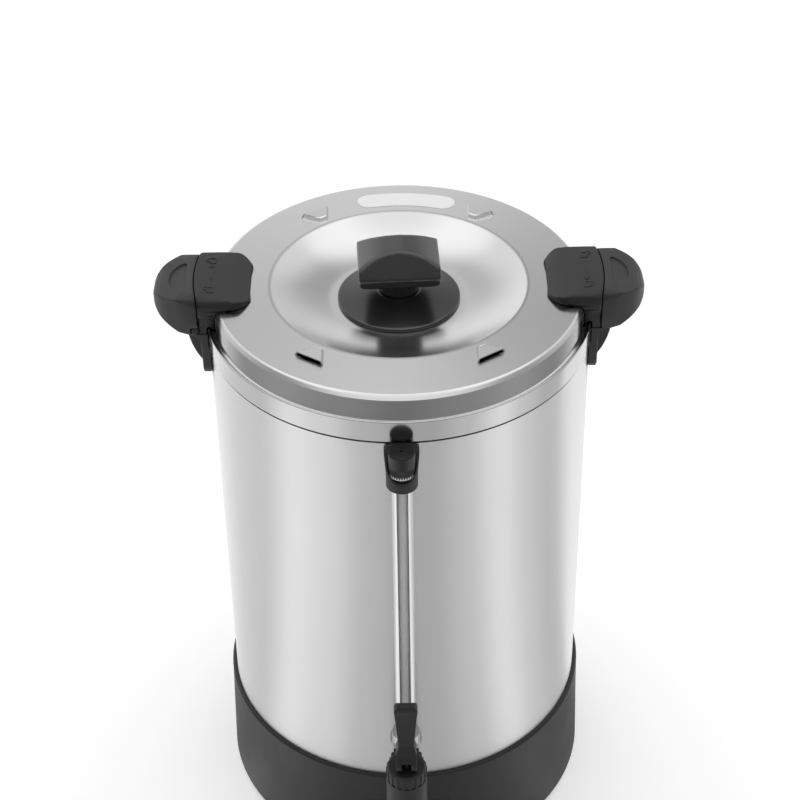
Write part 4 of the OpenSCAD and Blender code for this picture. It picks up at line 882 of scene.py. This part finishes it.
@dataclass
class Lid:
    """Dished lid with its bare label and its four steam louvers."""

    solids: Solids = field(default_factory=lambda: {Finish.LID: {"lid_disc": 0.0}})
    sharp_from: float = 8.0
    label_in_r: float = 0.1002
    label_out_r: float = 0.1187
    label_from: float = 67.0
    label_to: float = 106.0
    label_steps: int = 48
    label_rows: int = 8
    label_lift: float = 0.00012
    label_tip: float = 0.02
    louver_r: float = 0.111
    louver_half: float = 0.0125
    louver_short: float = 0.001
    louver_long: float = 0.014
    louver_tip: float = 0.0035
    louver_turns: tuple[tuple[float, int], ...] = ((56.0, -1), (124.0, 1), (236.0, -1), (304.0, 1))
    # Place and size of the bright patches painted as highlights on the louvers.
    highlight_from: float = 0.00297
    highlight_width: float = 0.00055
    highlight_taper: float = 3.0
    highlight_rows: int = 4
    highlight_steps: int = 8
    highlight_lift: float = 0.00006

    def label(self) -> None:
        """Lays the bare white label on the lid, with round ends."""
        ground, corners = Ground("lid_disc"), []
        middle, half = (self.label_in_r + self.label_out_r) / 2, (self.label_out_r - self.label_in_r) / 2
        turn = math.degrees(half / middle)
        for i in range(self.label_steps + 1):
            share = i / self.label_steps
            at = self.label_from + (self.label_to - self.label_from) * share
            edge = min(1.0, min(at - self.label_from, self.label_to - at) / turn)
            width = half * max(self.label_tip, math.sqrt(1 - (1 - edge) ** 2))
            lean = math.radians(at)
            for j in range(self.label_rows + 1):
                r = middle + width * (2 * j / self.label_rows - 1)
                x, y = r * math.cos(lean), r * math.sin(lean)
                corners.append((x, y, ground.top(x, y) + self.label_lift))
        faces = grid_faces(self.label_steps, self.label_rows)
        mesh_piece("lid_label", corners, faces, Finish.LABEL, Body.LID)

    def paint_louver_highlights(self) -> None:
        """Lays a bright steel patch on the tip and one side of each louver, as a painted highlight."""
        ground, corners, faces = Ground("lid_disc"), [], []
        columns = 2 * self.highlight_steps
        for turn, side in self.louver_turns:
            cos, sin = math.cos(math.radians(turn)), math.sin(math.radians(turn))
            faces += [face[::side] for face in grid_faces(self.highlight_rows, columns, len(corners))]
            for row in range(self.highlight_rows + 1):
                inset = self.highlight_from - row * self.highlight_width
                long, tip = self.louver_long - inset, side * (self.louver_tip - inset / self.highlight_taper)
                ends = [(-long, -tip), (-long, tip), (-self.louver_short, side * (self.louver_half - inset))]
                for i in range(columns + 1):
                    leg = min(i // self.highlight_steps, 1)
                    share = i / self.highlight_steps - leg
                    (u0, v0), (u1, v1) = ends[leg:leg + 2]
                    u, v = self.louver_r + u0 + (u1 - u0) * share, v0 + (v1 - v0) * share
                    x, y = u * cos - v * sin, u * sin + v * cos
                    corners.append((x, y, ground.top(x, y) + self.highlight_lift))
        mesh_piece("louver_highlights", corners, faces, Finish.PRESSED, Body.LID)

    def build(self) -> None:
        """Dresses the lid and adds its label and the highlights painted on the louvers."""
        Dressing(self.solids, self.sharp_from).dress()
        self.label()
        self.paint_louver_highlights()


@dataclass
class BlackParts:
    """Moulded knob, lid ears and body handles, with their fixings."""

    solids: Solids = field(default_factory=lambda: {
        Finish.BLACK: {"ear_left": 0.0012, "ear_right": 0.0012},
        Finish.GLOSS: {"knob_disc": 0.0004, "knob_grip": 0.0},
        Finish.GRIP: {"handle_left": 0.0008, "handle_right": 0.0008},
        Finish.FIXING: {"ear_screws": 0.0002, "knob_screw": 0.0003, "handle_screws": 0.0003,
            "handle_backing_plates": 0.0}})
    grip_grid: float = 0.0008
    grip_passes: int = 16
    mark_x: float = 0.1335
    stroke: Stroke = Stroke(0.0009, 0.00035)
    lock_y: float = 0.0185
    lock_w: float = 0.0062
    lock_h: float = 0.0042
    loop_r: float = 0.0018
    loop_rise: float = 0.0009
    arrow_low: float = -0.0065
    arrow_high: float = 0.0135
    head_half: float = 0.0016
    head_length: float = 0.004

    def padlock(self, way: float, open_by: float) -> list[Line]:
        """Draws a padlock with its loop to one side.

        Args:
            way: 1 or -1, the side of the ear's outer end.
            open_by: How far the loop is drawn aside.

        Returns:
            Lines of the body and of the loop.
        """
        half, deep = self.lock_w / 2, self.lock_h / 2
        body = [(-deep, -half), (deep, -half), (deep, half), (-deep, half), (-deep, -half)]
        bow = arc((deep + self.loop_rise, 0.0), self.loop_r, -90, 90)
        loop = [(deep, -self.loop_r)] + bow + [(deep, self.loop_r)]
        return [[(way * u, v) for u, v in body], [(way * u, v + open_by) for u, v in loop]]

    def marks(self) -> None:
        """Raises an arrow between an open and a closed padlock on each ear."""
        along, across = Vector((1, 0, 0)), Vector((0, 1, 0))
        for side, ear in ((-1, "ear_left"), (1, "ear_right")):
            lines = []
            for end in (-1, 1):
                aside = self.loop_r if end == side else 0.0
                lines += [[(u, v + end * self.lock_y) for u, v in line] for line in self.padlock(side, aside)]
            tip = -side * self.arrow_high
            back = tip + side * self.head_length
            lines.append([(0.0, -side * self.arrow_low), (0.0, tip)])
            lines.append([(-self.head_half, back), (0.0, tip), (self.head_half, back)])
            start = (side * self.mark_x, 0.0, ABOVE)
            corners, faces = self.stroke.lay(lines, Ground(ear), start, along, across)
            mesh_piece(f"{ear}_marks", corners, faces, Finish.BLACK, Body.LID)

    def build(self) -> None:
        """Dresses the black parts and adds the ears' marks."""
        Dressing(self.solids).dress()
        Soften.rub_down(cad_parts["knob_grip"], self.grip_grid, self.grip_passes)
        self.marks()


@dataclass
class SightGauge:
    """Sight gauge on the front of the shell."""

    solids: Solids = field(default_factory=lambda: {
        Finish.BLACK: {"gauge_bracket": 0.0004},
        Finish.FIXING: {"bracket_screw": 0.0002},
        Finish.PLUG: {"gauge_plug": 0.0001},
        Finish.RUBBER: {"gauge_plug_seal": 0.0, "gauge_lower_seal": 0.0},
        Finish.TUBE: {"gauge_tube": 0.0},
        Finish.POLISHED: {"gauge_guard": 0.0002}})
    gauge_y: float = -0.1495
    # Place and size of the white ring painted as the highlights on the plug's teeth.
    plug_glint_z: float = 0.4111
    plug_glint_h: float = 0.0022
    plug_glint_low_r: float = 0.00932
    plug_glint_high_r: float = 0.0088
    plug_glint_in_r: float = 0.0082
    plug_glint_edge: float = 0.2
    plug_glint_steps: int = 64

    def paint_plug_glint(self) -> None:
        """Lays a white ring that shows between the lower ends of the plug's teeth, as a painted highlight on
        them.
        """
        low, high = self.plug_glint_z, self.plug_glint_z + self.plug_glint_h
        edge = self.plug_glint_z + self.plug_glint_h * self.plug_glint_edge
        outline = [(self.plug_glint_in_r, low), (self.plug_glint_low_r, low), (self.plug_glint_low_r, edge),
                   (self.plug_glint_high_r, high), (self.plug_glint_in_r, high)]
        shape = ring(outline, self.gauge_y, self.plug_glint_steps)
        Soften.apply(mesh_piece("plug_glint_ring", *shape, Finish.GASKET, Body.PLUG), 0.0)

    def build(self) -> None:
        """Dresses the gauge and adds the white ring of painted highlight under its plug."""
        Dressing(self.solids).dress()
        self.paint_plug_glint()


@dataclass
class Tap:
    """Drip-free tap and the shank that it sits on."""

    solids: Solids = field(default_factory=lambda: {
        Finish.FIXING: {"tap_shank": 0.0003, "shank_nut": 0.0004, "tap_stem": 0.0002, "tap_spring": 0.0,
            "lever_pin": 0.0002},
        Finish.SILICONE: {"shank_outer_washer": 0.0003, "shank_spacer": 0.0003,
            "shank_inner_washer": 0.0003, "tap_seat_cup": 0.0003},
        Finish.BLACK: {"tap_collar_nut": 0.0003, "tap_body": 0.0005, "tap_bonnet": 0.0004,
            "tap_lever": 0.0006}})
    stem_lift: float = 0.0045
    tap_y: float = -0.1915

    def spring(self) -> None:
        """Replaces the spring with a copy of its mesh that rides on the urn."""
        piece = new_object("stem_spring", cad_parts["tap_spring"].data.copy())
        Soften.apply(piece, 0.0)
        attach(piece, Body.URN.value)
        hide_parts("tap_spring")
        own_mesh(piece)

    def build(self) -> None:
        """Dresses the tap and replaces its spring with a copy that rides on the urn."""
        Dressing(self.solids).dress()
        self.spring()


@dataclass
class Base:
    """Heated base with its switch, lamps, inlet and feet."""

    solids: Solids = field(default_factory=lambda: {
        Finish.BLACK: {"base_housing": 0.0005, "rocker_frame": 0.0003, "rocker_button": 0.0003,
            "power_inlet": 0.0003},
        Finish.FIXING: {"base_plate": 0.0002, "foot_screws": 0.0002, "base_screws": 0.0002,
            "thermostat": 0.0002, "thermal_cutout": 0.0002, "inlet_screws": 0.0002},
        Finish.RUBBER: {"rubber_feet": 0.0004},
        Finish.RESIN: {"terminal_block": 0.0003},
        Finish.RED: {"lamp_heating": 0.0002},
        Finish.GREEN: {"lamp_ready": 0.0002},
        Finish.BRASS: {"inlet_blades": 0.0002}})
    rocker_z: float = 0.051
    mark_from: float = -0.3
    mark_up: float = 0.0041
    mark_r: float = 0.0014
    mark_steps: int = 20
    stroke: Stroke = Stroke(0.0006, 0.00006, 0.0001, 0.0006)

    def marks(self) -> None:
        """Prints the on and off marks on the rocker."""
        bar = [(0.0, self.mark_up - self.mark_r), (0.0, self.mark_up + self.mark_r)]
        circle = arc((0.0, -self.mark_up), self.mark_r, 0, 360, self.mark_steps)
        start, along, across = (0.0, self.mark_from, self.rocker_z), Vector((1, 0, 0)), Vector((0, 0, 1))
        corners, faces = self.stroke.lay([bar, circle], Ground("rocker_button"), start, along, across)
        mesh_piece("rocker_marks", corners, faces, Finish.PALE, Body.ROCKER)

    def build(self) -> None:
        """Dresses the base and marks its switch."""
        Dressing(self.solids).dress()
        self.marks()


@dataclass(frozen=True)
class Panels:
    """Brightness of the studio by the direction about the urn, with the front at 0 and the right at 90."""

    stops: tuple[Pair, ...]
    full: float = 3.0

    def level(self, graph: Graph, x: NodeSocket, y: NodeSocket) -> NodeSocket:
        """Adds the nodes that give the brightness.

        Args:
            graph: Node tree to add them to.
            x: Part of the direction from the urn's axis that points to the right.
            y: Its part that points to the back.

        Returns:
            The brightness, as a share of the full one.
        """
        turn = graph.calc("ARCTAN2", x, graph.calc("MULTIPLY", y, -1.0))
        ramp = graph.add("ShaderNodeValToRGB", graph.calc("MULTIPLY_ADD", turn, 1 / math.tau, 0.5))
        ramp.color_ramp.interpolation = "EASE"
        marks = ramp.color_ramp.elements
        while len(marks) < len(self.stops):
            marks.new(0.5)
        for mark, (degrees, level) in zip(marks, self.stops):
            mark.position = degrees / 360 + 0.5
            mark.color = (*grey(level / self.full), 1.0)
        return ramp.outputs[0]


@dataclass
class Studio:
    """Camera, pale floor, surround and soft lamp."""

    focal_pixels: float = 2029.0
    distance: float = 1.45215
    pitch: float = 37.94
    roll: float = 0.92
    shift_x: float = -1.25
    shift_y: float = -119.2
    ring_z: float = 0.4645
    picture: float = 800.0
    sensor: float = 36.0
    reach: float = 60.0
    floor_size: float = 24.0
    floor_z: float = -0.0002
    floor_rough: float = 0.9
    floor_specular: float = 0.1
    floor_pale: float = 0.8
    floor_seen: float = 0.05
    floor_glow: float = 0.36
    low: Panels = Panels((
        (-180, 1.15), (-165, 1.2), (-148, 1.35), (-122, 0.9), (-95, 0.35), (-68, 0.45), (-45, 0.35),
        (-20, 0.25), (0, 0.22), (20, 0.22), (45, 0.35), (65, 0.45), (95, 0.3), (122, 0.8), (148, 0.95),
        (165, 0.88), (180, 1.15)))
    high: Panels = Panels((
        (-180, 0.84), (-165, 0.64), (-145, 1.15), (-120, 1.05), (-85, 0.4), (-35, 0.3), (0, 0.18), (35, 0.3),
        (85, 0.45), (120, 1.0), (145, 1.1), (160, 0.5), (172, 0.5), (180, 0.84)))
    ground: Panels = Panels((
        (-180, 1.0), (-159, 1.1), (-130, 1.0), (-100, 0.8), (-84, 0.76), (-62, 1.15), (-42, 0.98),
        (-20, 0.68), (0, 0.55), (15, 0.55), (35, 0.74), (56, 1.1), (72, 0.82), (88, 0.63), (97, 0.64),
        (108, 1.05), (135, 1.0), (159, 1.1), (180, 1.0)), 1.2)
    rises: tuple[Pair, ...] = ((0.25, 0.62), (0.72, 0.82), (0.93, 0.99))
    top_level: float = 1.3
    zenith_level: float = 1.0
    room_level: float = 0.92
    lamp_at: Point = (0.0, 0.3, 2.2)
    lamp_size: Pair = (1.8, 1.6)
    lamp_level: float = 0.22
    aim_z: float = 0.3

    def camera(self) -> None:
        """Stands the camera where the photograph was taken from."""
        pitch, roll = math.radians(self.pitch), math.radians(self.roll)
        forward = Vector((0.0, math.cos(pitch), -math.sin(pitch)))
        right = Vector((1.0, 0.0, 0.0))
        down = forward.cross(right)
        across = math.cos(roll) * right + math.sin(roll) * down
        drop = -math.sin(roll) * right + math.cos(roll) * down
        step = self.distance / self.focal_pixels
        eye = Vector((0, 0, self.ring_z)) - forward * self.distance
        eye -= across * self.shift_x * step + drop * self.shift_y * step
        data = bpy.data.cameras.new("camera")
        data.sensor_width = self.sensor
        data.lens = self.sensor * self.focal_pixels / self.picture
        data.clip_end = self.reach
        data.dof.use_dof = False
        camera = new_object("camera", data)
        camera.matrix_world = Matrix((*zip(across, -drop, -forward, eye), (0, 0, 0, 1)))
        bpy.context.scene.camera = camera

    def floor_finish(self) -> Material:
        """Builds the floor's finish, which metal sees in another brightness on each side of the urn.

        Returns:
            The new material.
        """
        palette = Palette("pale_floor")
        calc = palette.calc
        palette.set(Socket.ROUGHNESS, self.floor_rough)
        palette.set(Socket.SPECULAR, self.floor_specular)
        palette.set(Socket.GLOW_COLOUR, grey(1.0))
        rays = palette.add("ShaderNodeLightPath").outputs
        glossy = rays["Is Glossy Ray"]
        x, y, _ = palette.split(palette.place())
        around = calc("MULTIPLY", self.ground.level(palette, x, y), self.ground.full)
        dim = calc("SUBTRACT", 1.0, calc("MULTIPLY", glossy, calc("SUBTRACT", 1.0, around)))
        seen = calc("MAXIMUM", rays["Is Camera Ray"], rays["Is Transmission Ray"])
        seen = calc("MAXIMUM", seen, glossy)
        pale = calc("MULTIPLY_ADD", seen, self.floor_seen, self.floor_pale)
        palette.set(Socket.COLOUR, calc("MULTIPLY", dim, pale))
        palette.set(Socket.GLOW, calc("MULTIPLY", dim, calc("MULTIPLY", seen, self.floor_glow)))
        behind = palette.add("ShaderNodeNewGeometry").outputs["Backfacing"]
        clear = palette.add("ShaderNodeBsdfTransparent").outputs[0]
        both = palette.add("ShaderNodeMixShader", behind, palette.shader.outputs[0], clear)
        palette.feed(palette.tree.get_output_node("ALL").inputs["Surface"], both.outputs[0])
        return palette.material

    def floor(self) -> None:
        """Lays the pale floor, which is clear from below."""
        half = self.floor_size / 2
        corners = [(x * half, y * half, self.floor_z) for x, y in ((-1, -1), (1, -1), (1, 1), (-1, 1))]
        mesh = bpy.data.meshes.new("floor")
        mesh.from_pydata(corners, [], [(0, 1, 2, 3)])
        mesh.materials.append(self.floor_finish())
        piece = new_object("floor", mesh)

    def world(self) -> None:
        """Sets the surround: soft panels for metal to mirror, and white for the camera and clear pieces."""
        world = bpy.data.worlds.new("surround")
        bpy.context.scene.world = world
        world.use_nodes = True
        graph = Graph(world.node_tree)
        graph.tree.nodes.clear()
        x, y, z = graph.split(graph.add("ShaderNodeTexCoord").outputs["Generated"])
        top, zenith = (grey(level / self.high.full) for level in (self.top_level, self.zenith_level))
        shade = self.low.level(graph, x, y)
        for span, above in zip(self.rises, (self.high.level(graph, x, y), top, zenith)):
            rise = graph.remap(z, span, interpolation_type="SMOOTHSTEP")
            shade = graph.blend(rise, shade, above)
        panels = graph.add("ShaderNodeBackground", shade, self.high.full * self.room_level)
        white = graph.add("ShaderNodeBackground", grey(1.0))
        rays = graph.add("ShaderNodeLightPath").outputs
        seen = graph.calc("MAXIMUM", rays["Is Camera Ray"], rays["Is Transmission Ray"])
        both = graph.add("ShaderNodeMixShader", seen, panels.outputs[0], white.outputs[0])
        graph.add("ShaderNodeOutputWorld", both.outputs[0])

    def lamp(self) -> None:
        """Hangs a soft box above the urn, which faces it."""
        width, height = self.lamp_size
        data = bpy.data.lights.new("box_above", "AREA")
        data.shape = "RECTANGLE"
        data.size, data.size_y = width, height
        data.energy = self.lamp_level * math.pi * width * height
        lamp = new_object("box_above", data)
        lamp.location = self.lamp_at
        aim = Vector((0, 0, self.aim_z)) - Vector(self.lamp_at)
        lamp.rotation_euler = aim.to_track_quat("-Z", "Y").to_euler()

    def build(self) -> None:
        """Builds the whole stage."""
        self.camera()
        self.floor()
        self.world()
        self.lamp()
        bpy.context.scene.view_settings.view_transform = "Standard"


def main() -> None:
    """Builds the stage and every sub-assembly in order."""
    logging.basicConfig(level=logging.INFO, format="%(name)s: %(message)s")
    Studio().build()
    for part in (Tank(), Lid(), BlackParts(), SightGauge(), Tap(), Base()):
        part.build()
        log.info("finished %s", type(part).__name__)


if __name__ == "__main__":
    main()
